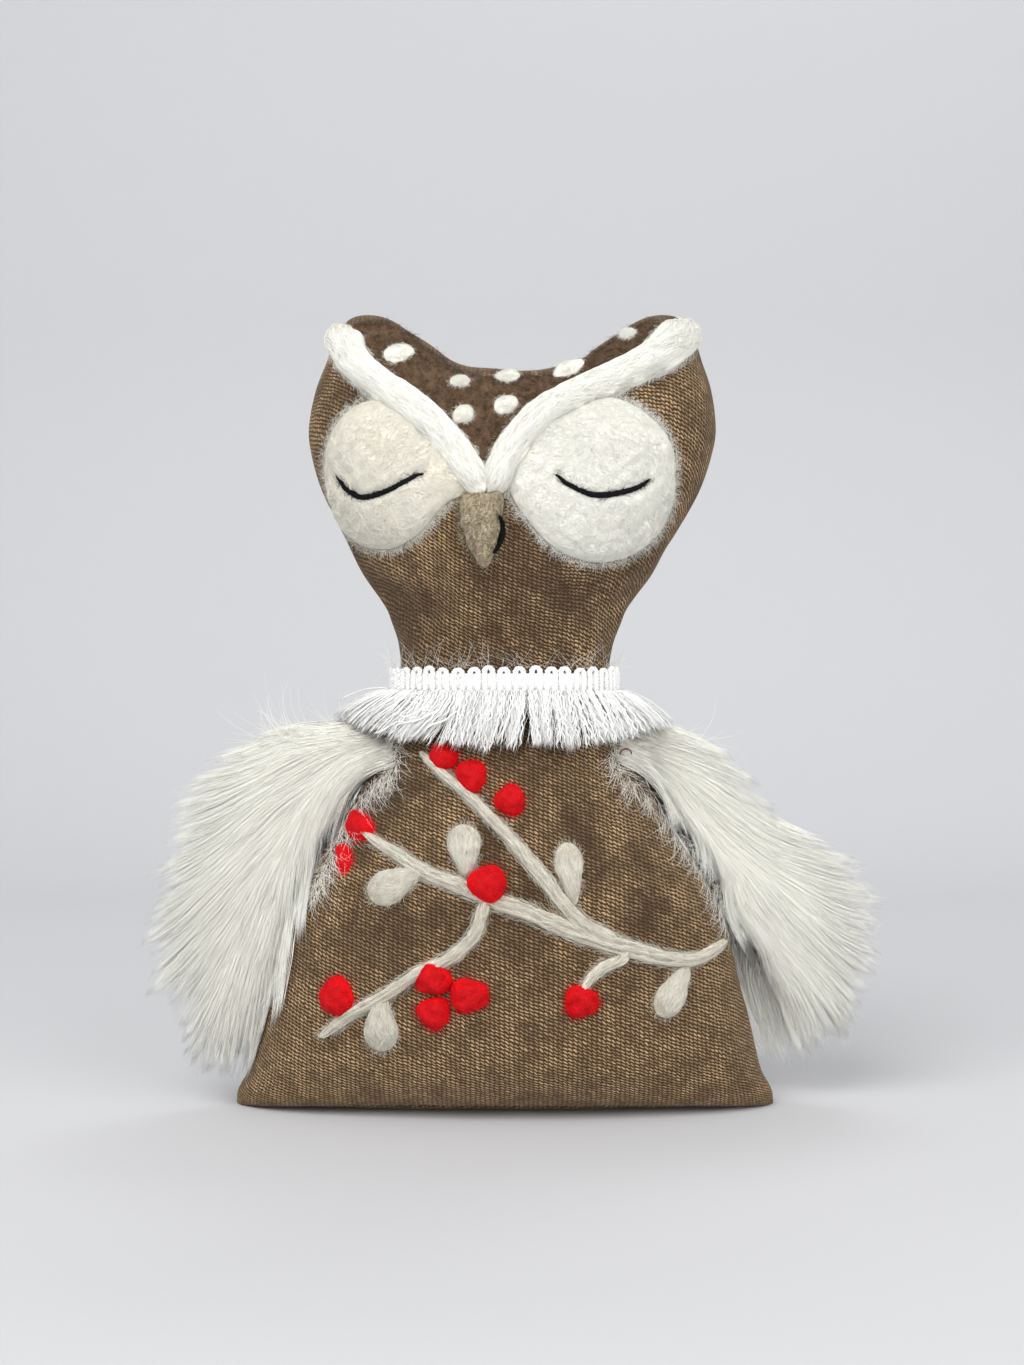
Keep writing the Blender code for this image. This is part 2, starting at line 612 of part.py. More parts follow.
def wing_fan(side, shares, inset=0.0):
    """Rows of points across a flat fan, from the hinge to the tip."""
    hinge = wing_hinge(side)
    rows = []
    for share, upper, lower in shares:
        full_reach = WING_ROOT + (WING_REACH - WING_ROOT) * share
        low = clear_of_torso(hinge, full_reach, lower)
        high = math.radians(upper)
        reach = full_reach * (WING_REACH - inset) / WING_REACH
        margin = min(inset / reach, BACKING_MARGIN_SHARE * (high - low))
        low += margin
        high -= margin
        row = []
        for column in range(WING_COLUMNS + 1):
            across = math.sin(math.pi * (column / WING_COLUMNS - 0.5))
            angle = (high + low) / 2.0 + (high - low) / 2.0 * across
            x = side * (abs(hinge.x) + reach * math.cos(angle))
            row.append((Vector((x, hinge.y, hinge.z + reach * math.sin(angle))), across, share))
        rows.append(row)
    return rows


def make_wing(side, name, shares, materials, joint):
    """Two fur cloths sewn back to back, and the pile on each face."""
    backing = wing_fan(side, shares, BACKING_INSET)
    half = Vector((0.0, BACKING / 2.0, 0.0))
    front = [[point - half for point, _, _ in row] for row in backing]
    back = [[point + half for point, _, _ in row] for row in backing]
    sheet_solid(name + "_backing", front, back, materials["fur_cloth"], joint)

    fan = wing_fan(side, shares)
    floor = BACKING / 2.0 + SEAM_GAP
    for word, facing in (("front", -1.0), ("back", 1.0)):
        low = [[point + Vector((0.0, facing * floor, 0.0)) for point, _, _ in row] for row in fan]
        high = []
        for row in fan:
            line = []
            for point, across, share in row:
                pile = (PILE_HEIGHT - PILE_EDGE) * math.sqrt(max(1.0 - across ** 2, 0.0))
                pile = PILE_EDGE + pile * read_shares(PILE_SHARES, share)
                line.append(point + Vector((0.0, facing * (floor + pile), 0.0)))
            high.append(line)
        sheet_solid(name + "_" + word + "_fur", high, low, materials["white_fur"], joint)


def lay_ribbon(name, edges, crown, material, joint=None, seat=FELT_SEAT, columns=4):
    """A domed strip on the front cloth, between pairs of points seen from the front."""
    upper = []
    lower = []
    for index, (start, end) in enumerate(edges):
        top = []
        floor = []
        taper = RIBBON_END_SHARE if index in (0, len(edges) - 1) else 1.0
        for column in range(columns + 1):
            part = column / columns
            x = start[0] + (end[0] - start[0]) * part
            z = start[1] + (end[1] - start[1]) * part
            swell = (crown - WOOL_EDGE) * math.sqrt(max(1.0 - (2.0 * part - 1.0) ** 2, 0.0)) * taper
            top.append(on_front(x, z, seat + WOOL_EDGE + swell))
            floor.append(on_front(x, z, seat))
        upper.append(top)
        lower.append(floor)
    return sheet_solid(name, upper, lower, material, joint)


def lay_mound(name, centre, outline, crown, material, joint=None, seat=FELT_SEAT, rings=3):
    """A domed piece on the front cloth, from its middle out to a ring of points."""
    count = len(outline)
    middle = Vector(centre)
    loops = []
    floor_rings = [(ring / rings, 0) for ring in range(1, rings + 1)]
    dome_rings = [(ring / rings, 1) for ring in range(rings, 0, -1)]
    for share, raised in floor_rings + dome_rings:
        loop = []
        for point in outline:
            place = middle + (Vector(point) - middle) * share
            swell = WOOL_EDGE + (crown - WOOL_EDGE) * math.sqrt(max(1.0 - share ** 2, 0.0))
            loop.append(on_front(place.x, place.y, seat + raised * swell))
        loops.append(loop)
    mesh_data = bmesh.new()
    verts = [[mesh_data.verts.new(point) for point in loop] for loop in loops]
    for low, high in zip(verts, verts[1:]):
        for index in range(count):
            mesh_data.faces.new((low[index - 1], low[index], high[index], high[index - 1]))
    for loop, height in ((verts[0], seat), (verts[-1], seat + crown)):
        hub = mesh_data.verts.new(on_front(middle.x, middle.y, height))
        for index in range(count):
            mesh_data.faces.new((loop[index - 1], loop[index], hub))
    return finish_mesh(name, mesh_data, material, joint)


def smooth_path(points, step):
    """Points at even steps along a smooth curve through the given ones."""
    curve = []
    for index in range(len(points) - 1):
        before = Vector(points[max(index - 1, 0)])
        start = Vector(points[index])
        end = Vector(points[index + 1])
        after = Vector(points[min(index + 2, len(points) - 1)])
        pieces = max(round((end - start).length / step), 1)
        for piece in range(pieces):
            t = piece / pieces
            bend = 2.0 * start + (end - before) * t
            bend += (2.0 * before - 5.0 * start + 4.0 * end - after) * t ** 2
            bend += (3.0 * start - before - 3.0 * end + after) * t ** 3
            curve.append(bend / 2.0)
    curve.append(Vector(points[-1]))
    return curve


def strip_edges(path, start_half, end_half):
    """Pairs of edge points beside a path, and circles that cover the strip."""
    edges = []
    circles = []
    for index, point in enumerate(path):
        along = path[min(index + 1, len(path) - 1)] - path[max(index - 1, 0)]
        across = Vector((-along.y, along.x)).normalized()
        half = start_half + (end_half - start_half) * index / (len(path) - 1)
        if index in (0, len(path) - 1):
            half *= RIBBON_END_SHARE
        edges.append((point + across * half, point - across * half))
        circles.append((point, half))
        if index:
            circles.append(((point + path[index - 1]) / 2.0, half))
    return edges, circles


def stop_beside(middle, point, circles):
    """Pull a point towards the middle until it stands clear of the given circles."""
    centre = Vector(middle)
    ray = Vector(point) - centre
    length = ray.length
    ray.normalize()
    reach = length
    for place, radius in circles:
        to_circle = place - centre
        along = to_circle.dot(ray)
        off = (to_circle - ray * along).length
        room = radius + FELT_SPACE
        if along > 0.0 and off < room:
            reach = min(reach, along - math.sqrt(room ** 2 - off ** 2))
    return centre + ray * max(reach, LEAST_REACH_SHARE * length)


def oval(centre, half_width, half_height, count):
    """Points of an oval seen from the front."""
    points = []
    for index in range(count):
        turn = 2.0 * math.pi * index / count
        x = centre[0] + half_width * math.cos(turn)
        points.append(Vector((x, centre[1] + half_height * math.sin(turn))))
    return points


def on_head(share):
    return Vector((HEAD_HALF_WIDTH * share[0], NECK_HEIGHT + crown_height(share[0]) * share[1]))


def on_torso(share):
    return Vector((BASE_HALF_WIDTH * share[0], NECK_HEIGHT * share[1]))


def edge_height(path, x, lift):
    """Height of a brow's upper edge over a place across the face."""
    for start, end in zip(path, path[1:]):
        if min(start.x, end.x) <= x <= max(start.x, end.x):
            run = end - start
            part = (x - start.x) / run.x
            return start.y + run.y * part + lift * run.length / abs(run.x)
    return None


def make_forehead(materials, joint, left_path, right_path, brow_circles):
    """The dark felt between the brows and the crown, and its seven light dots."""
    lift = BROW_HALF_WIDTH + 2.0 * FELT_SPACE
    left = left_path[2].x
    right = right_path[2].x
    count = 32
    edges = []
    for index in range(count + 1):
        x = left + (right - left) * index / count
        lows = [edge_height(path, x, lift) for path in (left_path, right_path)]
        lows = [low for low in lows if low is not None]
        across = (x - HEAD_LEAN) / head_point(1.0, 1.0).x
        high = NECK_HEIGHT + crown_height(across) - PATCH_MARGIN
        if lows and high - max(lows) > SKIN:
            edges.append(((x, high), (x, max(lows))))
    lay_ribbon("forehead_patch", edges, PATCH_CROWN, materials["dark_felt"], joint, columns=5)

    seat = 2.0 * FELT_SEAT + PATCH_CROWN
    for number, (across, up, wide, tall) in enumerate(DOT_SHARES, 1):
        centre = on_head((across, up))
        outline = [stop_beside(centre, point, brow_circles)
                   for point in oval(centre, HEAD_HALF_WIDTH * wide, HEAD_HALF_WIDTH * tall, 9)]
        name = "forehead_dot_%d" % number
        lay_mound(name, centre, outline, DOT_CROWN, materials["ivory_wool"], joint, seat, rings=2)


def make_face(materials, joint):
    """Brows, eye discs with their lid stitches, beak and its stitch, and the forehead."""
    wool = materials["ivory_wool"]
    step = BROW_HALF_WIDTH
    paths = {}
    brow_circles = []
    for word, shares in (("left", LEFT_BROW_SHARES), ("right", RIGHT_BROW_SHARES)):
        path = smooth_path([on_head(share) for share in shares], step)
        edges, circles = strip_edges(path, BROW_HALF_WIDTH, BROW_HALF_WIDTH)
        lay_ribbon("brow_" + word, edges, BROW_CROWN, wool, joint)
        paths[word] = path
        brow_circles += circles
    make_forehead(materials, joint, paths["left"], paths["right"], brow_circles)

    beak_centre = on_head(BEAK_SHARES)
    beak_room = [(beak_centre + Vector((0.0, BEAK_LENGTH * part)), BEAK_HALF_WIDTH * wide)
                 for part, wide in BEAK_ROOM_SHARES]
    eyes = (
        ("left", LEFT_EYE_SHARES, LEFT_EYE_HALF_WIDTH, LEFT_EYE_HALF_HEIGHT, LEFT_LID_SHARES),
        ("right", RIGHT_EYE_SHARES, RIGHT_EYE_HALF_WIDTH, RIGHT_EYE_HALF_HEIGHT, RIGHT_LID_SHARES),
    )
    for word, share, half_width, half_height, lid in eyes:
        centre = on_head(share)
        outline = [stop_beside(centre, point, brow_circles + beak_room)
                   for point in oval(centre, half_width, half_height, 22)]
        lay_mound("eye_disc_" + word, centre, outline, EYE_CROWN, wool, joint, rings=4)
        path = smooth_path([on_head(point) for point in lid], 3.0 * LID_HALF_WIDTH)
        edges, _ = strip_edges(path, LID_HALF_WIDTH, LID_HALF_WIDTH)
        seat = 2.0 * FELT_SEAT + EYE_CROWN
        name = "eyelid_stitch_" + word
        lay_ribbon(name, edges, LID_CROWN, materials["black_thread"], joint, seat, columns=2)

    outline = []
    for index in range(16):
        turn = 2.0 * math.pi * index / 16
        up = math.sin(turn)
        taper = 1.0 - BEAK_TAPER_SHARE + BEAK_TAPER_SHARE * up
        x = BEAK_HALF_WIDTH * signed_power(math.cos(turn), BEAK_SIDE_POWER) * taper
        point = beak_centre + Vector((x, BEAK_LENGTH / 2.0 * up))
        outline.append(stop_beside(beak_centre, point, brow_circles))
    lay_mound("beak", beak_centre, outline, BEAK_CROWN, materials["beak_felt"], joint, rings=3)
    path = smooth_path([on_head(point) for point in BEAK_STITCH_SHARES], 3.0 * BEAK_STITCH_HALF_WIDTH)
    edges, _ = strip_edges(path, BEAK_STITCH_HALF_WIDTH, BEAK_STITCH_HALF_WIDTH)
    lay_ribbon("beak_stitch", edges, BEAK_STITCH_CROWN, materials["black_thread"], joint, columns=2)


def make_sprig(materials):
    """Four twigs, five leaves and eleven berries felted to the torso's front."""
    taken = []
    twigs = (
        ("twig_main", MAIN_TWIG_SHARES, THIN_TWIG, THICK_TWIG),
        ("twig_upper", UPPER_TWIG_SHARES, THIN_TWIG, THICK_TWIG),
        ("twig_lower", LOWER_TWIG_SHARES, THICK_TWIG, THIN_TWIG),
        ("twig_small", SMALL_TWIG_SHARES, THIN_TWIG, THIN_TWIG),
    )
    for name, shares, start_half, end_half in twigs:
        path = smooth_path([on_torso(share) for share in shares], 3.0 * THIN_TWIG)
        edges, circles = strip_edges(path, start_half, end_half)
        lay_ribbon(name, edges, TWIG_CROWN, materials["twig_wool"])
        taken += circles

    for number, (across, up, degrees) in enumerate(LEAF_SHARES, 1):
        start = on_torso((across, up))
        way = Vector((math.cos(math.radians(degrees)), math.sin(math.radians(degrees))))
        side = Vector((-way.y, way.x))
        centre = start + way * LEAF_LENGTH / 2.0
        outline = []
        for point in oval((0.0, 0.0), LEAF_LENGTH / 2.0, LEAF_HALF_WIDTH, 12):
            fuller = 1.0 + LEAF_TIP_SHARE * point.x / LEAF_LENGTH
            place = centre + way * point.x + side * point.y * fuller
            outline.append(stop_beside(centre, place, taken))
        lay_mound("leaf_%d" % number, centre, outline, LEAF_CROWN, materials["twig_wool"], rings=2)
        taken += [(centre + way * LEAF_LENGTH * part, LEAF_HALF_WIDTH * wide)
                  for part, wide in LEAF_ROOM_SHARES]

    for number, (across, up, share) in enumerate(BERRY_SHARES):
        centre = on_torso((across, up))
        radius = BERRY_RADIUS * share
        raised = number == BERRY_ON_TWIG
        outline = oval(centre, radius, radius, 11)
        if not raised:
            outline = [stop_beside(centre, point, taken) for point in outline]
        seat = 2.0 * FELT_SEAT + LEAF_CROWN if raised else FELT_SEAT
        name = "berry_%d" % (number + 1)
        lay_mound(name, centre, outline, BERRY_CROWN * share, materials["red_wool"], seat=seat, rings=3)
        taken.append((centre, radius))


def build_owl():
    for thing in list(bpy.data.objects):
        bpy.data.objects.remove(thing)
    materials = make_materials()
    head_joint = add_joint("head_joint", Vector((0.0, 0.0, JOINT_HEIGHT)))
    left_joint = add_joint("wing_left_joint", wing_hinge(-1.0))
    right_joint = add_joint("wing_right_joint", wing_hinge(1.0))
    make_torso(materials)
    make_head(materials, head_joint)
    make_collar(materials)
    make_wing(-1.0, "wing_left", LEFT_WING_SHARES, materials, left_joint)
    make_wing(1.0, "wing_right", RIGHT_WING_SHARES, materials, right_joint)
    make_face(materials, head_joint)
    make_sprig(materials)


build_owl()
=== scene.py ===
import json
import math

import bpy
import numpy as np
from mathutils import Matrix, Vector
from mathutils.bvhtree import BVHTree


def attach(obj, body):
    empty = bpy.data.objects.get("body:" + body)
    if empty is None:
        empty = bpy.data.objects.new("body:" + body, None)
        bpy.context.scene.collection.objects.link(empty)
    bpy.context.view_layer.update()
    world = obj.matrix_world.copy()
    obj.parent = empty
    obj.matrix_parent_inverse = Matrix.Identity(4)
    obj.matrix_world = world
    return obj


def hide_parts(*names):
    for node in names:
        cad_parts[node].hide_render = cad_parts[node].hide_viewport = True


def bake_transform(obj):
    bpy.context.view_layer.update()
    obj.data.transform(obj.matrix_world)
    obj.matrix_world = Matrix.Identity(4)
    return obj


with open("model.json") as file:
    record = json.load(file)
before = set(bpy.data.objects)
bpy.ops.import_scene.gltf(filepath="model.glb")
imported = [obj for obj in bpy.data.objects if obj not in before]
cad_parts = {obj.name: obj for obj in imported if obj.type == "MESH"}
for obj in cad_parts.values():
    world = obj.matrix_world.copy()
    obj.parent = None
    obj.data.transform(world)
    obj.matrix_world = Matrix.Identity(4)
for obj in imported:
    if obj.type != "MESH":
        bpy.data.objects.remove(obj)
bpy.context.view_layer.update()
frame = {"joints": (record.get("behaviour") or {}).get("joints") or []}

# A plush owl: knitted velour cloth, a felted wool face and sprig, a looped collar with its
# fringe, and long-pile fur wings. Metres, +Z up. The owl faces -Y, and left and right are as
# seen from the front.

hinges = {joint["name"]: Vector(joint["pos_m"]) for joint in frame["joints"]}


# Camera, lights and floor

view = {
    "distance": 0.600, "height": 0.1367, "aside": 0.0023, "lens": 48.4, "sensor": 36.0, "near": 0.01,
}
studio = {
    "key": {"place": (-0.60, -1.15, 1.15), "size": 1.3, "power": 24.0},
    "fill": {"place": (0.95, -1.15, 0.45), "size": 1.2, "power": 12.5},
    "rim": {"place": (0.25, 1.05, 1.05), "size": 0.9, "power": 9.0},
    "target": (0.0, 0.0, 0.12), "sky": (0.95, 0.97, 1.0), "skyStrength": 0.50,
    "floor": (0.60, 0.60, 0.61), "floorRoughness": 0.9, "floorReach": 1.9, "wallAt": 1.0,
    "bend": 0.45, "bendSteps": 16, "wallTop": 1.9,
}


def show(name, data):
    shown = bpy.data.objects.new(name, data)
    bpy.context.scene.collection.objects.link(shown)
    return shown


def aim(thing, place, target):
    thing.location = place
    way = Vector(target) - Vector(place)
    thing.rotation_euler = way.to_track_quat("-Z", "Y").to_euler()


def setUpCamera():
    camera = bpy.data.cameras.new("camera")
    camera.lens = view["lens"]
    camera.sensor_width = view["sensor"]
    camera.clip_start = view["near"]
    holder = show("camera", camera)
    place = (view["aside"], -view["distance"], view["height"])
    aim(holder, place, (view["aside"], 0.0, view["height"]))
    bpy.context.scene.camera = holder


def setUpLights():
    for name in ("key", "fill", "rim"):
        lamp = bpy.data.lights.new(name, "AREA")
        lamp.size = studio[name]["size"]
        lamp.energy = studio[name]["power"]
        aim(show(name, lamp), studio[name]["place"], studio["target"])
    world = bpy.data.worlds.new("studio")
    world.use_nodes = True
    sky = world.node_tree.nodes["Background"]
    sky.inputs["Color"].default_value = (*studio["sky"], 1.0)
    sky.inputs["Strength"].default_value = studio["skyStrength"]
    bpy.context.scene.world = world
    bpy.context.scene.view_settings.view_transform = "Standard"


def setUpFloor():
    side = studio["floorReach"]
    profile = [(-side, 0.0), (studio["wallAt"] - studio["bend"], 0.0)]
    for step in range(1, studio["bendSteps"] + 1):
        turn = math.pi / 2 * step / studio["bendSteps"]
        profile.append((studio["wallAt"] - studio["bend"] * (1 - math.sin(turn)),
                        studio["bend"] * (1 - math.cos(turn))))
    profile.append((studio["wallAt"], studio["wallTop"]))
    points = [(x, y, z) for y, z in profile for x in (-side, side)]
    faces = [(2 * i, 2 * i + 1, 2 * i + 3, 2 * i + 2) for i in range(len(profile) - 1)]
    mesh = bpy.data.meshes.new("floor")
    mesh.from_pydata(points, [], faces)
    mesh.shade_smooth()
    floor = show("floor", mesh)
    paper = bpy.data.materials.new("paper")
    paper.use_nodes = True
    shader = paper.node_tree.nodes["Principled BSDF"]
    shader.inputs["Base Color"].default_value = (*studio["floor"], 1.0)
    shader.inputs["Roughness"].default_value = studio["floorRoughness"]
    mesh.materials.append(paper)


setUpCamera()
setUpLights()
setUpFloor()
print("camera, lights and floor set up")


# Shader maths: a Signal is a socket that takes part in plain expressions

class Signal:
    def __init__(self, finish, socket):
        self.finish = finish
        self.socket = socket

    def __add__(self, other):
        return self.finish.maths("ADD", self, other)

    __radd__ = __add__

    def __sub__(self, other):
        return self.finish.maths("SUBTRACT", self, other)

    def __rsub__(self, other):
        return self.finish.maths("SUBTRACT", other, self)

    def __mul__(self, other):
        return self.finish.maths("MULTIPLY", self, other)

    __rmul__ = __mul__

    def __truediv__(self, other):
        return self.finish.maths("DIVIDE", self, other)


class Finish:
    def __init__(self, name, roughness, sheen, sheenTint, shine):
        self.material = bpy.data.materials.new(name)
        self.material.use_nodes = True
        self.tree = self.material.node_tree
        self.shader = self.tree.nodes["Principled BSDF"]
        self.shader.inputs["Roughness"].default_value = roughness
        self.shader.inputs["Sheen Weight"].default_value = sheen
        self.shader.inputs["Sheen Tint"].default_value = (*sheenTint, 1.0)
        self.shader.inputs["Specular IOR Level"].default_value = shine

    def feed(self, socket, value):
        if isinstance(value, Signal):
            self.tree.links.new(value.socket, socket)
        elif hasattr(value, "__len__") and len(value) == 3 and len(socket.default_value) == 4:
            socket.default_value = (*value, 1.0)
        else:
            socket.default_value = value

    def node(self, kind, settings=None, values=None, output=0):
        made = self.tree.nodes.new("ShaderNode" + kind)
        for key, value in (settings or {}).items():
            setattr(made, key, value)
        for key, value in (values or {}).items():
            self.feed(made.inputs[key], value)
        return Signal(self, made.outputs[output])

    def maths(self, operation, *values):
        return self.node("Math", {"operation": operation}, dict(enumerate(values)))

    def floor(self, value):
        return self.maths("FLOOR", value)

    def fraction(self, value):
        return self.maths("FRACT", value)

    def ramp(self, value, low, high):
        # 0 up to low, 1 from high on, smooth between
        return self.node("MapRange", {"interpolation_type": "SMOOTHSTEP"},
                         {"Value": value, "From Min": low, "From Max": high})

    def noise(self, place, size, detail, rough=0.55, stretch=None, twist=0.0):
        # lumps of about the given size in metres
        if stretch:
            place = self.node("VectorMath", {"operation": "MULTIPLY"}, {0: place, 1: stretch})
        values = {"Vector": place, "Scale": 1.0 / size, "Detail": detail, "Roughness": rough,
                  "Distortion": twist}
        return self.node("TexNoise", {}, values)

    def mix(self, share, first, second, kind="MIX"):
        settings = {"data_type": "RGBA", "blend_type": kind}
        return self.node("Mix", settings, {0: share, 6: first, 7: second}, 2)

    def place(self):
        return self.node("TexCoord", output=3)

    def map(self, name):
        return self.node("UVMap", {"uv_map": name})

    def split(self, vector, part):
        return self.node("SeparateXYZ", {}, {0: vector}, part)

    def colour(self, value):
        self.feed(self.shader.inputs["Base Color"], value)

    def relief(self, height, distance, strength=1.0):
        bump = self.node("Bump", {}, {"Height": height, "Distance": distance, "Strength": strength})
        self.feed(self.shader.inputs["Normal"], bump)


velourLook = {  # wale and course: how far apart the stitches are, across and up
    "dark": (0.034, 0.018, 0.008), "tan": (0.520, 0.350, 0.188), "ground": 1.9,
    "sheenTint": (0.55, 0.42, 0.30), "wale": 0.00150, "course": 0.00116, "step": 0.46, "lean": 0.80,
    "stitchWidth": 0.53, "stitchHeight": 0.31, "stitchEdge": (0.20, 1.25),
    "wobbleSize": 0.0040, "wobble": (0.7, 0.9), "jitterSize": 0.0014, "jitter": 0.6,
    "fuzzSize": 0.0006, "patchSize": 0.024, "patchStretch": (1.0, 1.0, 0.62), "napEdge": (0.38, 0.62),
    "napHeights": (0.030, 0.070), "wornSize": 0.007, "wornEdge": (0.32, 0.68), "depth": 0.00040,
}


def makeVelour(name):
    look = velourLook
    finish = Finish(name, 0.85, 0.30, look["sheenTint"], 0.2)
    cloth = finish.map("clothMap")
    place = finish.place()
    wobble = finish.noise(place, look["wobbleSize"], 2.0) - 0.5
    jitter = finish.noise(place, look["jitterSize"], 1.0) - 0.5
    across = finish.split(cloth, 0) / look["wale"] + wobble * look["wobble"][0]
    column = finish.floor(across)
    cellAcross = finish.fraction(across) - 0.5
    up = finish.split(cloth, 1) / look["course"] + wobble * look["wobble"][1] + jitter * look["jitter"]
    up = up + column * look["step"] + cellAcross * look["lean"]
    cell = finish.node("CombineXYZ", {}, {0: column, 1: finish.floor(up)})
    chance = finish.node("TexWhiteNoise", {"noise_dimensions": "2D"}, {"Vector": cell})
    leaning = (finish.fraction(up) - 0.5) / look["stitchHeight"]
    along = cellAcross / look["stitchWidth"]
    stitch = 1.0 - finish.ramp(leaning * leaning + along * along, *look["stitchEdge"])
    fuzz = finish.noise(place, look["fuzzSize"], 3.0, 0.7)
    patches = finish.noise(place, look["patchSize"], 4.0, 0.62, look["patchStretch"])
    above = finish.ramp(finish.split(place, 2), *look["napHeights"])
    nap = finish.ramp(patches, *look["napEdge"]) * (0.15 + above * 0.85)
    worn = finish.ramp(finish.noise(place, look["wornSize"], 3.0, 0.6), *look["wornEdge"])
    bright = stitch * (0.12 + fuzz * 0.78 + chance * 0.64) * (1.0 - nap * 0.74) * (0.50 + worn * 0.66)
    ground = finish.mix(fuzz, look["dark"], tuple(part * look["ground"] for part in look["dark"]))
    finish.colour(finish.mix(bright, finish.mix(nap * 0.6, ground, look["dark"]), look["tan"]))
    finish.relief(stitch * 0.8 + fuzz * 0.5, look["depth"], 0.8)
    return finish.material


def makeWool(name, pale, deep, warm, fibre=0.0007, relief=0.00018):
    finish = Finish(name, 0.95, 0.25, pale, 0.15)
    place = finish.place()
    cloud = finish.noise(place, 0.010, 3.0, 0.6)
    strand = finish.noise(place, fibre, 5.0, 0.7, None, 1.6)
    tangle = finish.noise(place, fibre * 3.0, 4.0, 0.65, (1.0, 1.0, 0.45), 1.2)
    shade = finish.ramp(strand * 0.55 + tangle * 0.45, 0.34, 0.60)
    tone = finish.mix(shade, deep, pale)
    finish.colour(finish.mix(finish.ramp(cloud, 0.45, 0.70) * 0.6, tone, warm))
    finish.relief(strand * 0.6 + tangle, relief)
    return finish.material


def makeStrand(name, root, body, tip, spread=0.10, roughness=0.55, sheen=0.0, shine=0.3):
    # strandMap: each strand's tone across, and root to tip upwards; the root colour, darker than the tip in
    # most finishes, is painted shade where each strand goes down into the felt or pile
    finish = Finish(name, roughness, sheen, (1.0, 1.0, 1.0), shine)
    strand = finish.map("strandMap")
    tone = finish.split(strand, 0)
    along = finish.split(strand, 1)
    # painted shade: the darker root colour at the foot of each strand, lightening to its middle and tip
    # colours
    colour = finish.mix(finish.ramp(along, 0.0, 0.45), root, body)
    colour = finish.mix(finish.ramp(along, 0.45, 1.0), colour, tip)
    shade = (1.0 - spread,) * 3
    finish.colour(finish.mix(tone, colour, finish.mix(1.0, colour, shade, "MULTIPLY")))
    return finish.material


wools = {  # pale, deep and warm colour, and the size and relief of coarser fibres
    "creamWool": ((0.95, 0.91, 0.79), (0.82, 0.77, 0.65), (0.95, 0.89, 0.72)),
    "whiteWool": ((0.96, 0.95, 0.87), (0.83, 0.82, 0.74), (0.95, 0.90, 0.84)),
    "browWool": ((0.97, 0.96, 0.87), (0.80, 0.77, 0.67), (0.96, 0.92, 0.80)),
    "twigWool": ((0.93, 0.87, 0.74), (0.36, 0.28, 0.19), (0.90, 0.79, 0.66)),
    "redWool": ((0.94, 0.003, 0.008), (0.48, 0.001, 0.003), (0.84, 0.001, 0.010), 0.0010, 0.0004),
    "darkWool": ((0.112, 0.068, 0.039), (0.028, 0.015, 0.008), (0.155, 0.098, 0.058)),
    "beakWool": ((0.66, 0.55, 0.39), (0.16, 0.115, 0.07), (0.66, 0.50, 0.26), 0.0007, 0.0004),
    "furCloth": ((0.22, 0.19, 0.16), (0.07, 0.06, 0.05), (0.17, 0.15, 0.13), 0.0012),
    "furPile": ((0.98, 0.96, 0.88), (0.90, 0.87, 0.78), (0.95, 0.93, 0.84), 0.0012),
    "fibrefill": ((0.93, 0.93, 0.92), (0.80, 0.80, 0.80), (0.92, 0.92, 0.90), 0.0012),
    "pelletCloth": ((0.80, 0.78, 0.73), (0.60, 0.58, 0.54), (0.78, 0.76, 0.70), 0.0009),
}
strands = {  # root, middle and tip colour (darker roots are painted shade where the strands go into the felt or pile), spread of tones, then roughness, sheen and shine
    "creamFibre": ((0.90, 0.87, 0.75), (0.96, 0.93, 0.83), (0.98, 0.96, 0.88), 0.13),
    "whiteFibre": ((0.92, 0.90, 0.81), (0.98, 0.97, 0.90), (0.99, 0.98, 0.93), 0.13),
    "twigFibre": ((0.72, 0.64, 0.52), (0.96, 0.92, 0.80), (0.97, 0.94, 0.85), 0.36),
    "redFibre": ((0.80, 0.002, 0.006), (0.96, 0.003, 0.010), (0.97, 0.004, 0.012), 0.35),
    "darkFibre": ((0.045, 0.025, 0.014), (0.10, 0.060, 0.034), (0.22, 0.14, 0.085), 0.7),
    "beakFibre": ((0.30, 0.23, 0.14), (0.74, 0.62, 0.42), (0.90, 0.80, 0.60), 0.8),
    "blackThread": ((0.007, 0.007, 0.008), (0.007, 0.007, 0.008), (0.010, 0.010, 0.011), 0.10, 0.9, 0.0,
                    0.1),
    "rayon": ((0.90, 0.90, 0.88), (0.95, 0.95, 0.93), (0.96, 0.96, 0.94), 0.12, 0.36, 0.2, 0.6),
    # the fur's ivory roots are painted shade deep in the pile, under the white tips
    "fur": ((0.96, 0.935, 0.83), (0.99, 0.975, 0.875), (0.99, 0.985, 0.92), 0.07, 0.5, 1.0, 0.4),
    "redThread": ((0.20, 0.01, 0.012), (0.24, 0.012, 0.014), (0.24, 0.012, 0.014)),
}
finishes = {"velour": makeVelour("velour")}
finishes.update({name: makeWool(name, *look) for name, look in wools.items()})
finishes.update({name: makeStrand(name, *look) for name, look in strands.items()})
print("finishes made: %d" % len(finishes))


# Meshes from arrays

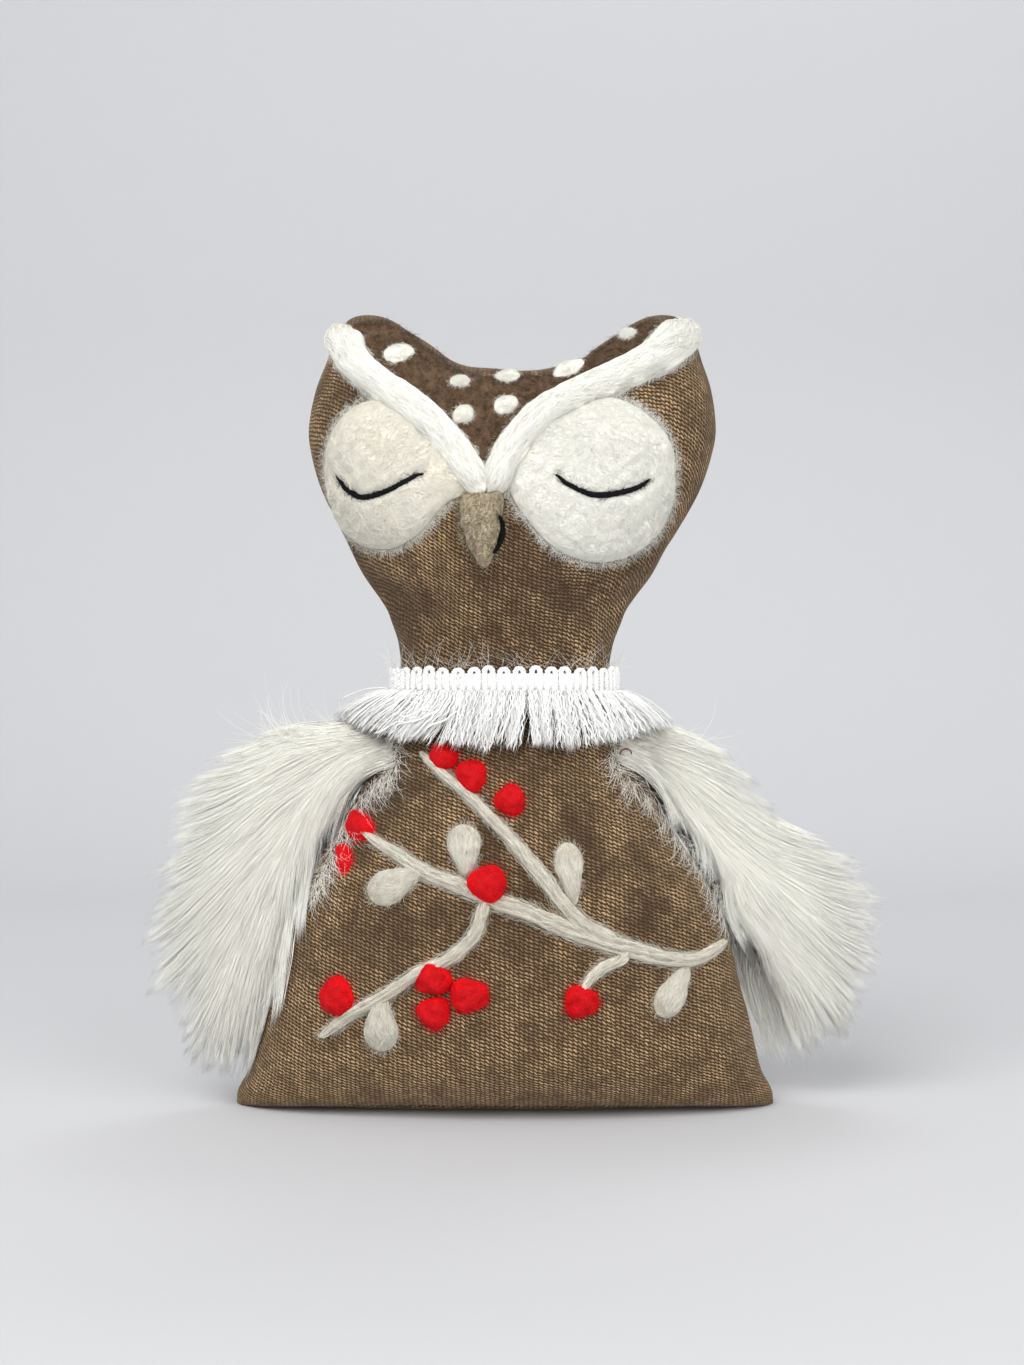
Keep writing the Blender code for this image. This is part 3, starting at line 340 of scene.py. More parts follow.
def buildMesh(name, points, quads, triangles=None):
    points = np.asarray(points, np.float32).reshape(-1, 3)
    quads = np.asarray(quads, np.int32).reshape(-1, 4)
    triangles = np.asarray([] if triangles is None else triangles, np.int32).reshape(-1, 3)
    mesh = bpy.data.meshes.new(name)
    mesh.vertices.add(len(points))
    mesh.vertices.foreach_set("co", points.ravel())
    corners = np.concatenate([quads.ravel(), triangles.ravel()])
    starts = np.concatenate([np.arange(len(quads)) * 4,
                             len(quads) * 4 + np.arange(len(triangles)) * 3])
    mesh.loops.add(len(corners))
    mesh.loops.foreach_set("vertex_index", corners)
    mesh.polygons.add(len(starts))
    mesh.polygons.foreach_set("loop_start", starts.astype(np.int32))
    mesh.update(calc_edges=True)
    mesh.shade_smooth()
    return mesh


def addMap(mesh, name, corners):
    layer = mesh.uv_layers.new(name=name, do_init=False)
    layer.uv.foreach_set("vector", np.asarray(corners, np.float32).ravel())


def readAll(items, name, width=1, kind=np.int32):
    found = np.empty(len(items) * width, kind)
    items.foreach_get(name, found)
    return found.reshape(-1, width) if width > 1 else found


def faceOutwards(mesh):
    # turn every face of a closed mesh outwards by its signed volume
    mesh.calc_loop_triangles()
    points = readAll(mesh.vertices, "co", 3, np.float32)
    a, b, c = np.moveaxis(points[readAll(mesh.loop_triangles, "vertices", 3)], 1, 0)
    if np.einsum("ij,ij->i", a, np.cross(b, c)).sum() < 0:
        mesh.flip_normals()


def dress(piece, body, slot, finish, replaced=()):
    piece.data.materials.append(finishes[finish])
    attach(piece, body)
    if replaced:
        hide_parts(*replaced)
    return piece


def quadsBetween(index):
    return np.stack([index[:-1, :-1], index[:-1, 1:], index[1:, 1:], index[1:, :-1]], -1).reshape(-1, 4)


def gridQuads(rows, columns, closed=False, start=0):
    # faces of a grid of points, whose columns may join up in a ring
    index = np.arange(rows * columns).reshape(rows, columns) + start
    return quadsBetween(np.pad(index, ((0, 0), (0, 1)), "wrap") if closed else index)


def ringMesh(name, rows):
    # rings of points one after another, closed with a middle point at each end
    count, spokes, _ = rows.shape
    points = np.concatenate([rows.reshape(-1, 3), rows[[0, -1]].mean(1)])
    around = np.arange(spokes)
    after = np.roll(around, -1)
    last = (count - 1) * spokes
    triangles = np.concatenate([
        np.stack([after, around, np.full(spokes, count * spokes)], -1),
        np.stack([around + last, after + last, np.full(spokes, count * spokes + 1)], -1)])
    mesh = buildMesh(name, points, gridQuads(count, spokes, True), triangles)
    faceOutwards(mesh)
    return mesh


def growStrands(name, paths, radii, tones, sides=3, seed=1, towards=None):
    # one closed, pointed tube for each path of points, all in one mesh
    paths = np.asarray(paths, float)
    count, steps, _ = paths.shape
    radii = np.broadcast_to(radii, (count, steps))
    along = np.gradient(paths, axis=1)
    along /= np.maximum(np.linalg.norm(along, axis=2, keepdims=True), 1e-9)
    aside = np.random.default_rng(seed).normal(size=(count, 1, 3))
    if towards is not None:      # most have one flat side turned that way
        aside = aside * 0.35 - np.array(towards, float)
    aside = aside - along * (aside * along).sum(2, keepdims=True)
    aside /= np.maximum(np.linalg.norm(aside, axis=2, keepdims=True), 1e-9)
    third = np.cross(along, aside)
    turns = 2 * math.pi * np.arange(sides) / sides
    ring = (aside[:, :-1, None] * np.cos(turns)[:, None]
            + third[:, :-1, None] * np.sin(turns)[:, None])
    rings = paths[:, :-1, None] + ring * radii[:, :-1, None, None]
    rings = rings.reshape(count, (steps - 1) * sides, 3)
    points = np.concatenate([rings, paths[:, -1:]], axis=1)
    each = points.shape[1]
    base = (np.arange(count) * each)[:, None, None]
    quads = (gridQuads(steps - 1, sides, True)[None] + base).reshape(-1, 4)
    last = np.arange(sides) + (steps - 2) * sides
    tips = np.stack([last, np.roll(last, -1), np.full(sides, each - 1)], -1)
    tips = (tips[None] + base).reshape(-1, 3)
    first = np.arange(sides)
    caps = np.stack([np.zeros(sides - 2, int), first[2:], first[1:-1]], -1)
    caps = (caps[None] + base).reshape(-1, 3)
    mesh = buildMesh(name, points, quads, np.concatenate([tips, caps]))
    # strandMap: a narrow stripe for each strand, and the same again as a second map, OFBake
    stripe = 1.0 / 24
    tones = np.asarray(tones, float) * (1 - stripe)
    level = np.arange(steps - 1) / (steps - 1)
    left = np.tile(np.arange(sides) / sides, (steps - 2, 1))
    low = np.repeat(level[:-1], sides).reshape(steps - 2, sides)
    high = np.repeat(level[1:], sides).reshape(steps - 2, sides)
    right = left + 1 / sides
    quadMap = np.stack([np.stack([left, low], -1), np.stack([right, low], -1),
                        np.stack([right, high], -1), np.stack([left, high], -1)], 2).reshape(-1, 2)
    tipLeft = np.arange(sides) / sides
    tipMap = np.stack([np.stack([tipLeft, np.full(sides, level[-1])], -1),
                       np.stack([tipLeft + 1 / sides, np.full(sides, level[-1])], -1),
                       np.stack([tipLeft + 0.5 / sides, np.ones(sides)], -1)], 1).reshape(-1, 2)
    capMap = np.tile([[0.1, 0.0], [0.9, 0.0], [0.5, 0.02]], (sides - 2, 1))

    def spread(part):
        corners = np.tile(part, (count, 1, 1))
        corners[:, :, 0] = corners[:, :, 0] * stripe + tones[:, None]
        return corners.reshape(-1, 2)

    corners = np.concatenate([spread(quadMap), spread(tipMap), spread(capMap)])
    addMap(mesh, "strandMap", corners)
    addMap(mesh, "OFBake", corners)
    return show(name, mesh)


# Smooth tables, paths and lumps

def lengthsAlong(points):
    return np.concatenate([[0], np.cumsum(np.linalg.norm(np.diff(points, axis=0), axis=1))])


def headings(path):
    # the way a flat path goes at each point, and the way to its left
    along = np.gradient(path, axis=0)
    along /= np.linalg.norm(along, axis=1, keepdims=True)
    return along, np.stack([-along[:, 1], along[:, 0]], -1)


def smoothTable(rows, column=1):
    # a smooth curve through the rows of a table, as a function of an array
    rows = np.array(rows, float)
    x, y = rows[:, 0], rows[:, column]
    slope = np.empty(len(x))
    slope[1:-1] = (y[2:] - y[:-2]) / (x[2:] - x[:-2])
    slope[0] = (y[1] - y[0]) / (x[1] - x[0])
    slope[-1] = (y[-1] - y[-2]) / (x[-1] - x[-2])

    def read(place):
        place = np.clip(np.asarray(place, float), x[0], x[-1])
        index = np.clip(np.searchsorted(x, place) - 1, 0, len(x) - 2)
        run = x[index + 1] - x[index]
        t = (place - x[index]) / run
        return ((2 * t ** 3 - 3 * t ** 2 + 1) * y[index]
                + (t ** 3 - 2 * t ** 2 + t) * run * slope[index]
                + (3 * t ** 2 - 2 * t ** 3) * y[index + 1]
                + (t ** 3 - t ** 2) * run * slope[index + 1])

    return read


def lumps(x, z, size, seed):
    # smooth lumps about as wide as size, mostly from -1 to 1
    waves = 10
    draw = np.random.default_rng(seed)
    total = 0.0
    for _ in range(waves):
        turn, phase = draw.uniform(0, 2 * math.pi, 2)
        reach = size * draw.uniform(1.2, 2.6)
        total = total + np.sin((x * math.cos(turn) + z * math.sin(turn)) * 2 * math.pi / reach + phase)
    return total / math.sqrt(waves)


def smoothPath(points, step):
    # points at even steps along a smooth curve through the given ones
    points = np.array(points, float)
    padded = np.concatenate([points[:1], points, points[-1:]])
    curve = []
    for before, start, end, after in zip(padded, padded[1:], padded[2:], padded[3:]):
        t = np.linspace(0, 1, 24, endpoint=False)[:, None]
        curve.append((2 * start + (end - before) * t
                      + (2 * before - 5 * start + 4 * end - after) * t ** 2
                      + (3 * start - before - 3 * end + after) * t ** 3) / 2)
    curve = np.concatenate(curve + [points[-1:]])
    length = lengthsAlong(curve)
    count = max(int(round(length[-1] / step)), 2)
    places = np.linspace(0, length[-1], count + 1)
    return np.stack([np.interp(places, length, part) for part in curve.T], -1)


# The stuffed cloth: torso and head, front and back

cloth = {  # the outline of the solids under it, how finely it is divided, and its seams and lumps
    "earHeight": 0.2568, "crownDip": 0.0185, "neckHeight": 0.1400, "baseHalfWidth": 0.0875,
    "neckHalfWidth": 0.0342, "headHalfWidth": 0.0668, "baseHalfDepth": 0.0200,
    "torsoHalfDepth": 0.0375, "neckHalfDepth": 0.0245, "headHalfDepth": 0.0350,
    "footRounding": 0.0220, "headLean": 0.0034, "power": 2.4, "crownStart": 0.40,
    "columns": 132, "footRows": 16, "torsoRows": 92, "faceRows": 40, "crownRows": 58,
    "thickness": 0.0012, "seamGap": 0.0003, "seamDraw": 0.0011, "seamReach": 0.0011,
    "pucker": 0.0045, "puckerDepth": 0.35, "lump": 0.00055, "lumpSize": 0.016, "lumpFade": 0.016,
    "gather": 0.00040, "gatherPitch": 0.0075, "gatherReach": 0.013, "arch": 0.0034,
}
torsoWidthTable = smoothTable([
    (0.0, 1.0), (0.03, 0.99), (0.07, 0.93), (0.14, 0.88), (0.23, 0.83), (0.33, 0.77),
    (0.42, 0.72), (0.47, 0.67), (0.51, 0.61), (0.56, 0.53), (0.61, 0.43), (0.66, 0.34),
    (0.71, 0.255), (0.80, 0.145), (0.89, 0.06), (0.96, 0.01), (1.0, 0.0),
])
headWidthTable = smoothTable([
    (0.0, 0.0), (0.09, 0.02), (0.15, 0.09), (0.21, 0.19), (0.30, 0.42), (0.43, 0.67),
    (0.545, 0.87), (0.66, 0.985), (0.72, 1.0), (0.83, 0.93), (0.92, 0.82), (1.0, 0.74),
])
torsoDepthTable = smoothTable([
    (0.0, 0.80), (0.12, 0.90), (0.30, 1.0), (0.52, 0.86), (0.75, 0.42), (1.0, 0.0),
])
headDepthTable = smoothTable([
    (0.0, 0.0), (0.10, 0.06), (0.25, 0.45), (0.42, 0.88), (0.60, 1.0), (1.0, 0.92),
])
crownTable = smoothTable([
    (0.0, 0.0), (0.20, 0.03), (0.33, 0.12), (0.45, 0.40), (0.57, 0.66), (0.72, 0.93),
    (0.84, 1.0), (0.93, 0.93), (1.0, 0.68),
])


def bulge(across):
    return np.maximum(1 - np.abs(across) ** cloth["power"], 0) ** (1 / cloth["power"])


def rounded(part):
    # a cosine or sine, for a ring that is a little squarer than an ellipse
    return np.sign(part) * np.abs(part) ** (2 / cloth["power"])


def between(first, last, share):
    return first + (last - first) * share


def torsoHalfWidth(height):
    share = torsoWidthTable(height / cloth["neckHeight"])
    return between(cloth["neckHalfWidth"], cloth["baseHalfWidth"], share)


def torsoHalfDepth(height):
    share = torsoDepthTable(height / cloth["neckHeight"])
    full = between(cloth["neckHalfDepth"], cloth["torsoHalfDepth"], share)
    curl = np.clip(1 - height / cloth["footRounding"], 0, 1)
    return between(cloth["baseHalfDepth"], full, np.sqrt(1 - curl ** 2))


def torsoCloth(across, height, inset):
    lift = inset * np.maximum(1 - height / cloth["footRounding"], 0)
    x = (torsoHalfWidth(height) - inset) * across
    y = (torsoHalfDepth(height) - inset) * bulge(across)
    return np.stack(np.broadcast_arrays(x, y, height + lift), -1)


def crownHeight(across):
    dip = cloth["crownDip"] * (1 - crownTable(np.abs(across)))
    return cloth["earHeight"] - cloth["neckHeight"] - dip


def headCloth(across, share, inset):
    width = between(cloth["neckHalfWidth"], cloth["headHalfWidth"], headWidthTable(share))
    depth = between(cloth["neckHalfDepth"], cloth["headHalfDepth"], headDepthTable(share))
    drawnIn = bulge(np.clip((share - cloth["crownStart"]) / (1 - cloth["crownStart"]), 0, 1))
    x = cloth["headLean"] * share + (width - inset) * across
    y = (depth - inset) * bulge(across) * drawnIn
    z = cloth["neckHeight"] + share * (crownHeight(across) - inset)
    return np.stack(np.broadcast_arrays(x, y, z), -1)


def clothGrid(inset=0.0):
    # rows from the base's seam up to the crown's, columns from side seam to side seam
    turns = np.linspace(-math.pi / 2, math.pi / 2, cloth["columns"] + 1)
    across = rounded(np.sin(turns))
    foot = cloth["footRounding"]
    curl = np.linspace(0, math.pi / 2, cloth["footRows"], endpoint=False)
    torso = np.linspace(foot, cloth["neckHeight"], cloth["torsoRows"], endpoint=False)
    heights = np.concatenate([foot * (1 - np.cos(curl)), torso])
    start = cloth["crownStart"]
    rise = np.sin(np.linspace(0, math.pi / 2, cloth["crownRows"] + 1)) ** (2 / cloth["power"])
    face = np.linspace(0, start, cloth["faceRows"], endpoint=False)
    shares = np.concatenate([face, start + (1 - start) * rise])
    inset = np.broadcast_to(inset, (len(heights) + len(shares), len(across)))
    low = torsoCloth(across[None], heights[:, None], inset[:len(heights)])
    high = headCloth(across[None], shares[:, None], inset[len(heights):])
    return np.concatenate([low, high])


def arcLengths(grid):
    # distances over the cloth from its middle column, and up from its base
    gaps = np.linalg.norm(np.diff(grid, axis=1), axis=2)
    across = np.concatenate([np.zeros((len(grid), 1)), np.cumsum(gaps, 1)], 1)
    across -= across[:, grid.shape[1] // 2][:, None]
    up = lengthsAlong(grid[:, grid.shape[1] // 2])
    return across, np.repeat(up[:, None], grid.shape[1], 1)


def lumpsAt(x, y, z, side):
    # uneven stuffing, faded out towards the seams, and gathers beside the collar
    fade = np.minimum(np.abs(y) / cloth["lumpFade"], 1)
    small = lumps(x, z, cloth["lumpSize"], 3 + side)
    stuffed = small * 0.6 + lumps(x, z, cloth["lumpSize"] * 2.4, 7 + side)
    near = np.exp(-((z - cloth["neckHeight"]) / cloth["gatherReach"]) ** 2)
    gathers = np.cos(2 * math.pi * x / cloth["gatherPitch"] + lumps(x, z, 0.02, 15) * 1.2)
    return fade * (stuffed * cloth["lump"] * (1 - 0.7 * near) + gathers * near * cloth["gather"])


def archAt(x, z):
    # the base's edge rises in the middle and stands on its two corners
    reach = 1 - np.minimum(np.abs(x) / cloth["baseHalfWidth"], 1) ** 2.6
    return cloth["arch"] * reach * np.maximum(1 - z / cloth["footRounding"], 0) ** 1.5


def clothPanel(side):
    plain = clothGrid()
    across, up = arcLengths(plain)
    near = np.exp(-(plain[:, :, 1] / cloth["seamReach"]) ** 2)
    along = np.where(np.abs(across) > 0.02, up, across) + (up - plain[:, :, 2])
    wave = 2 * math.pi * along / cloth["pucker"] + np.sin(along * 310) * 1.4
    puckers = 1 + cloth["puckerDepth"] * np.cos(wave)
    sewn = np.ones(len(plain))
    sewn[:3] = (0.0, 0.4, 0.8)
    inset = near * cloth["seamDraw"] * puckers * sewn[:, None]
    grid = clothGrid(inset)
    x, y, z = grid[:, :, 0], grid[:, :, 1], grid[:, :, 2]
    y = y + lumpsAt(x, y, z, side) + cloth["seamGap"] / 2
    z = z + archAt(x, z)
    outer = np.stack([x, side * y, z], -1)
    inner = clothGrid(inset + cloth["thickness"])
    inner[:, :, 1] = side * (inner[:, :, 1] + lumpsAt(x, y, z, side) + cloth["seamGap"] / 2)
    inner[:, :, 2] += archAt(x, z)
    return outer, inner, np.stack([across, up], -1)


def closedSheet(name, outer, inner, cornerMap=None):
    # a closed sheet of cloth between two grids of the same size
    rows, columns, _ = outer.shape
    count = rows * columns
    index = np.arange(count).reshape(rows, columns)
    rim = np.concatenate([index[0], index[1:, -1], index[-1, -2::-1], index[-2:0:-1, 0]])
    after = np.roll(rim, -1)
    quads = np.concatenate([gridQuads(rows, columns), gridQuads(rows, columns, start=count)[:, ::-1],
                            np.stack([after, rim, rim + count, after + count], -1)])
    mesh = buildMesh(name, np.concatenate([outer.reshape(-1, 3), inner.reshape(-1, 3)]), quads)
    if cornerMap is not None:
        flat = cornerMap.reshape(-1, 2)
        addMap(mesh, "clothMap", np.concatenate([flat, flat])[readAll(mesh.loops, "vertex_index")])
    faceOutwards(mesh)
    return show(name, mesh)


settling = {  # Blender's Cloth, on a coarser balloon of both panels
    "every": 3, "frames": 16, "pressure": 4.0, "seamShrink": 0.03, "most": 0.0022, "quality": 6,
    "mass": 0.15, "stiffness": 12.0, "shear": 4.0, "bending": 0.4, "seamHold": 0.25, "neckHold": 0.9,
    "neckReach": 0.005, "seamShare": 0.3, "seamFade": 0.012, "smoothing": 4,
}


def spreadOut(coarse, rows, columns, shape):
    # smooth values for every row and column of a panel, from those at some of them
    wide = np.stack([[np.interp(np.arange(shape[1]), columns, line) for line in part]
                     for part in np.moveaxis(coarse, 2, 0)])
    full = np.stack([[np.interp(np.arange(shape[0]), rows, line) for line in part.T]
                     for part in wide]).transpose(2, 1, 0)
    for _ in range(settling["smoothing"]):
        full[1:-1, 1:-1] = (full[1:-1, 1:-1] * 2 + full[:-2, 1:-1] + full[2:, 1:-1]
                            + full[1:-1, :-2] + full[1:-1, 2:]) / 6
    return full


def settleCloth(front, back):
    # how far each place of the two panels moves as the filling presses them out
    rows = np.append(np.arange(0, len(front) - 1, settling["every"]), len(front) - 1)
    columns = np.arange(0, front.shape[1], settling["every"])
    points = np.concatenate([grid[np.ix_(rows, columns)] for grid in (front, back)]).reshape(-1, 3)
    ahead = np.arange(len(points) // 2).reshape(len(rows), len(columns))
    behind = ahead + len(points) // 2
    behind[:, 0], behind[:, -1], behind[-1] = ahead[:, 0], ahead[:, -1], ahead[-1]     # sewn together
    under = np.stack([ahead[0, 1:], ahead[0, :-1], behind[0, :-1], behind[0, 1:]], -1)
    faces = np.concatenate([quadsBetween(ahead), quadsBetween(behind[:, ::-1]), under])
    faces = [list(dict.fromkeys(face)) for face in faces.tolist()]
    mesh = bpy.data.meshes.new("settling")
    mesh.from_pydata(points.tolist(), [], faces)
    balloon = show("settling", mesh)
    seam = np.unique(np.concatenate([ahead[:, 0], ahead[:, -1], ahead[-1]])).tolist()
    atNeck = np.abs(points[:, 2] - collarHeight) < settling["neckReach"]
    held = balloon.vertex_groups.new(name="held")
    held.add(np.flatnonzero(atNeck).tolist(), settling["neckHold"], "REPLACE")
    held.add(seam, settling["seamHold"], "REPLACE")
    held.add(np.unique([ahead[0], behind[0]]).tolist(), 1.0, "REPLACE")
    drawn = balloon.vertex_groups.new(name="drawn")
    drawn.add(seam, 1.0, "REPLACE")
    settings = balloon.modifiers.new("cloth", "CLOTH").settings
    settings.quality = settling["quality"]
    settings.mass = settling["mass"]
    settings.tension_stiffness = settings.compression_stiffness = settling["stiffness"]
    settings.shear_stiffness = settling["shear"]
    settings.bending_stiffness = settling["bending"]
    settings.use_pressure = True
    settings.uniform_pressure_force = settling["pressure"]
    settings.vertex_group_mass = held.name
    settings.pin_stiffness = 1.0
    settings.vertex_group_shrink = drawn.name
    settings.shrink_max = settling["seamShrink"]
    settings.effector_weights.gravity = 0
    scene = bpy.context.scene
    scene.frame_start, scene.frame_end = 1, settling["frames"]
    for number in range(1, settling["frames"] + 1):
        scene.frame_set(number)
    settled = balloon.evaluated_get(bpy.context.evaluated_depsgraph_get()).to_mesh()
    move = readAll(settled.vertices, "co", 3, np.float32) - points
    length = np.linalg.norm(move, axis=1, keepdims=True)
    atSeam = np.minimum(np.abs(points[:, 1:2]) / settling["seamFade"], 1)
    move *= np.minimum(1, settling["most"] / np.maximum(length, 1e-9))
    move *= settling["seamShare"] + (1 - settling["seamShare"]) * atSeam
    bpy.data.objects.remove(balloon)
    bpy.data.meshes.remove(mesh)
    scene.frame_set(1)
    print("cloth settled, %.1f mm at most" % (np.linalg.norm(move, axis=1).max() * 1000))
    return [spreadOut(move[index], rows, columns, front.shape) for index in (ahead, behind)]


def makeCloth():
    panels, linings = {}, {}
    front, back = clothPanel(-1), clothPanel(1)
    moves = settleCloth(front[0], back[0])
    for side, word, panel, move in ((-1, "front", front, moves[0]), (1, "back", back, moves[1])):
        outer, inner, cornerMap = panel[0] + move, panel[1] + move, panel[2]
        piece = closedSheet(word + "Cloth", outer, inner, cornerMap)
        piece.data.materials.append(finishes["velour"])
        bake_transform(piece)
        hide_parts("body_%s_panel" % word, "head_%s_panel" % word)
        panels[side], linings[side] = outer, inner
    return panels, linings


collarHeight = cloth["neckHeight"] - 0.0022
panels, linings = makeCloth()
print("cloth panels made")


# Places on the front cloth, from rays cast at it

surface = {
    "step": 0.0005, "reach": 0.092, "top": 0.2640, "from": 0.2, "beyond": 9, "fall": 0.0002,
    "steepest": 2.0,
}


def castRays():
    outer = panels[-1]
    rows, columns, _ = outer.shape
    tree = BVHTree.FromPolygons(outer.reshape(-1, 3).tolist(), gridQuads(rows, columns).tolist())
    across = np.arange(-surface["reach"], surface["reach"], surface["step"])
    up = np.arange(0, surface["top"], surface["step"])
    depth = np.full((len(up), len(across)), np.nan)
    for i, z in enumerate(up):
        for j, x in enumerate(across):
            hit = tree.ray_cast((x, -surface["from"], z), (0, 1, 0))[0]
            if hit:
                depth[i, j] = -hit.y
    reached = ~np.isnan(depth)
    for _ in range(surface["beyond"]):   # past the outline the last depths carry on a little way
        beside = np.stack([np.roll(depth, turn, axis) for turn in (1, -1) for axis in (0, 1)])
        known = ~np.isnan(beside)
        mean = np.where(known, beside, 0).sum(0) / np.maximum(known.sum(0), 1)
        depth = np.where(np.isnan(depth) & known.any(0), mean - surface["fall"], depth)
    depth = np.nan_to_num(depth)
    slopeZ, slopeX = np.gradient(depth, surface["step"])
    return np.stack([depth, slopeX, slopeZ], -1), reached


surfaceGrid, surfaceReached = castRays()
print("rays cast at the front cloth")


def onCloth(x, z, height=0.0):
    # points at a height above the front cloth, square to it
    x = np.asarray(x, float)
    z = np.asarray(z, float)
    column = np.clip((x + surface["reach"]) / surface["step"], 0, surfaceGrid.shape[1] - 1.001)
    row = np.clip(z / surface["step"], 0, surfaceGrid.shape[0] - 1.001)
    i, j = row.astype(int), column.astype(int)
    a, b = (row - i)[..., None], (column - j)[..., None]
    found = ((surfaceGrid[i, j] * (1 - b) + surfaceGrid[i, j + 1] * b) * (1 - a)
             + (surfaceGrid[i + 1, j] * (1 - b) + surfaceGrid[i + 1, j + 1] * b) * a)
    slopes = np.clip(found[..., 1:], -surface["steepest"], surface["steepest"])
    normal = np.stack([-slopes[..., 0], -np.ones(x.shape), -slopes[..., 1]], -1)
    normal /= np.linalg.norm(normal, axis=-1, keepdims=True)
    return np.stack([x, -found[..., 0], z], -1) + normal * np.asarray(height)[..., None]


def isOnCloth(x, z, beyond):
    # whether places are in front of the cloth, or no further than beyond outside its outline
    found = np.zeros(np.shape(x), bool)
    rows, columns = surfaceReached.shape
    for dx, dz in ((0, 0), (beyond, 0), (-beyond, 0), (0, -beyond)):
        column = ((x + dx + surface["reach"]) / surface["step"]).astype(int)
        row = ((z + dz) / surface["step"]).astype(int)
        found |= surfaceReached[np.clip(row, 0, rows - 1), np.clip(column, 0, columns - 1)]
    return found


def onHead(across, up):
    # from shares of the head's half width and of the way up to the crown's seam
    across, up = np.asarray(across), np.asarray(up)
    z = cloth["neckHeight"] + crownHeight(across) * up
    return np.stack([cloth["headHalfWidth"] * across, z], -1)


def onTorso(across, up):
    across, up = np.asarray(across), np.asarray(up)
    return np.stack([cloth["baseHalfWidth"] * across, cloth["neckHeight"] * up], -1)


def headPath(places, step):
    return smoothPath(onHead(*np.array(places).T), step)


# Felted wool: mounds with an outline, ribbons along a path, and their fibres

felting = {  # metres; sunk: how far a piece reaches into the cloth
    "sunk": 0.0004, "moundLumps": (0.0026, 0.007), "ropeLumps": (0.0024, 0.006), "furrows": 7.5,
    "furrowDrift": 0.012, "ropeStep": 0.0008, "ropeEnd": 0.004, "overEdge": 0.0008,
}


def roughness(x, z, sizes, seed, lump):
    return lumps(x, z, sizes[0], seed) * lump + lumps(x, z, sizes[1], seed + 1) * lump


class Mound:
    # a felted piece that is round about a middle; its outline is a table of degrees and reach
    def __init__(self, middle, outline, crown, power, seat, lump, seed, grain=None):
        self.middle = np.array(middle, float)
        rows = sorted(outline)
        rows = [(rows[-1][0] - 360, rows[-1][1])] + rows + [(rows[0][0] + 360, rows[0][1])]
        self.reachTable = smoothTable(rows)
        self.crown, self.power, self.seat, self.lump, self.seed = crown, power, seat, lump, seed
        self.grain = grain       # the way its fibres run, in radians
        self.dents = []

    def reach(self, turn):
        return self.reachTable(np.degrees(turn) % 360)

    def height(self, x, z):
        dx, dz = x - self.middle[0], z - self.middle[1]
        share = np.hypot(dx, dz) / self.reach(np.arctan2(dz, dx))
        dome = self.crown * np.maximum(1 - share ** self.power, 0) ** 0.5
        rough = roughness(x, z, felting["moundLumps"], self.seed, self.lump)
        for path, depth, width in self.dents:
            away = nearest(path, x, z)[0]
            dome = dome - depth * np.exp(-(away / width) ** 2) * np.minimum(dome / self.crown * 2, 1)
        return self.seat + dome + rough * np.minimum(dome / self.crown * 3, 1)

    def holds(self, x, z, slack=1.02):
        dx, dz = x - self.middle[0], z - self.middle[1]
        return np.hypot(dx, dz) < self.reach(np.arctan2(dz, dx)) * slack

    def mesh(self, name, rings, spokes):
        share = np.sin(np.linspace(0.03, 1, rings) * math.pi / 2)
        turn = 2 * math.pi * np.arange(spokes) / spokes
        reach = self.reach(turn)
        x = self.middle[0] + share[:, None] * reach * np.cos(turn)
        z = self.middle[1] + share[:, None] * reach * np.sin(turn)
        top = onCloth(x, z, self.height(x, z))
        floor = onCloth(x[::-1], z[::-1], np.full(x.shape, self.seat - felting["sunk"]))
        return show(name, ringMesh(name, np.concatenate([top, floor[::rings // 4]])))

    def scatter(self, draw, count, low, high):
        turn = draw.uniform(0, 2 * math.pi, count)
        share = np.sqrt(draw.uniform(low ** 2, high ** 2, count))
        reach = self.reach(turn) * share
        places = self.middle + np.stack([reach * np.cos(turn), reach * np.sin(turn)], -1)
        if self.grain is not None:
            turn = np.where(np.cos(turn - self.grain) > -0.2, self.grain, self.grain + math.pi)
        return places, turn


def nearest(path, x, z, signed=False):
    # distance to a path, above 0 on its left when signed, and the place along it as a share
    best = np.full(np.shape(x), np.inf)
    where = np.zeros(np.shape(x))
    side = 1
    for index, (start, end) in enumerate(zip(path, path[1:])):
        run = end - start
        t = np.clip(((x - start[0]) * run[0] + (z - start[1]) * run[1]) / (run @ run), 0, 1)
        away = np.hypot(x - start[0] - run[0] * t, z - start[1] - run[1] * t)
        closer = away < best
        best = np.where(closer, away, best)
        where = np.where(closer, (index + t) / (len(path) - 1), where)
        if signed:
            left = (z - start[1]) * run[0] - (x - start[0]) * run[1]
            side = np.where(closer, np.where(left < 0, -1, 1), side)
    return best * side, where


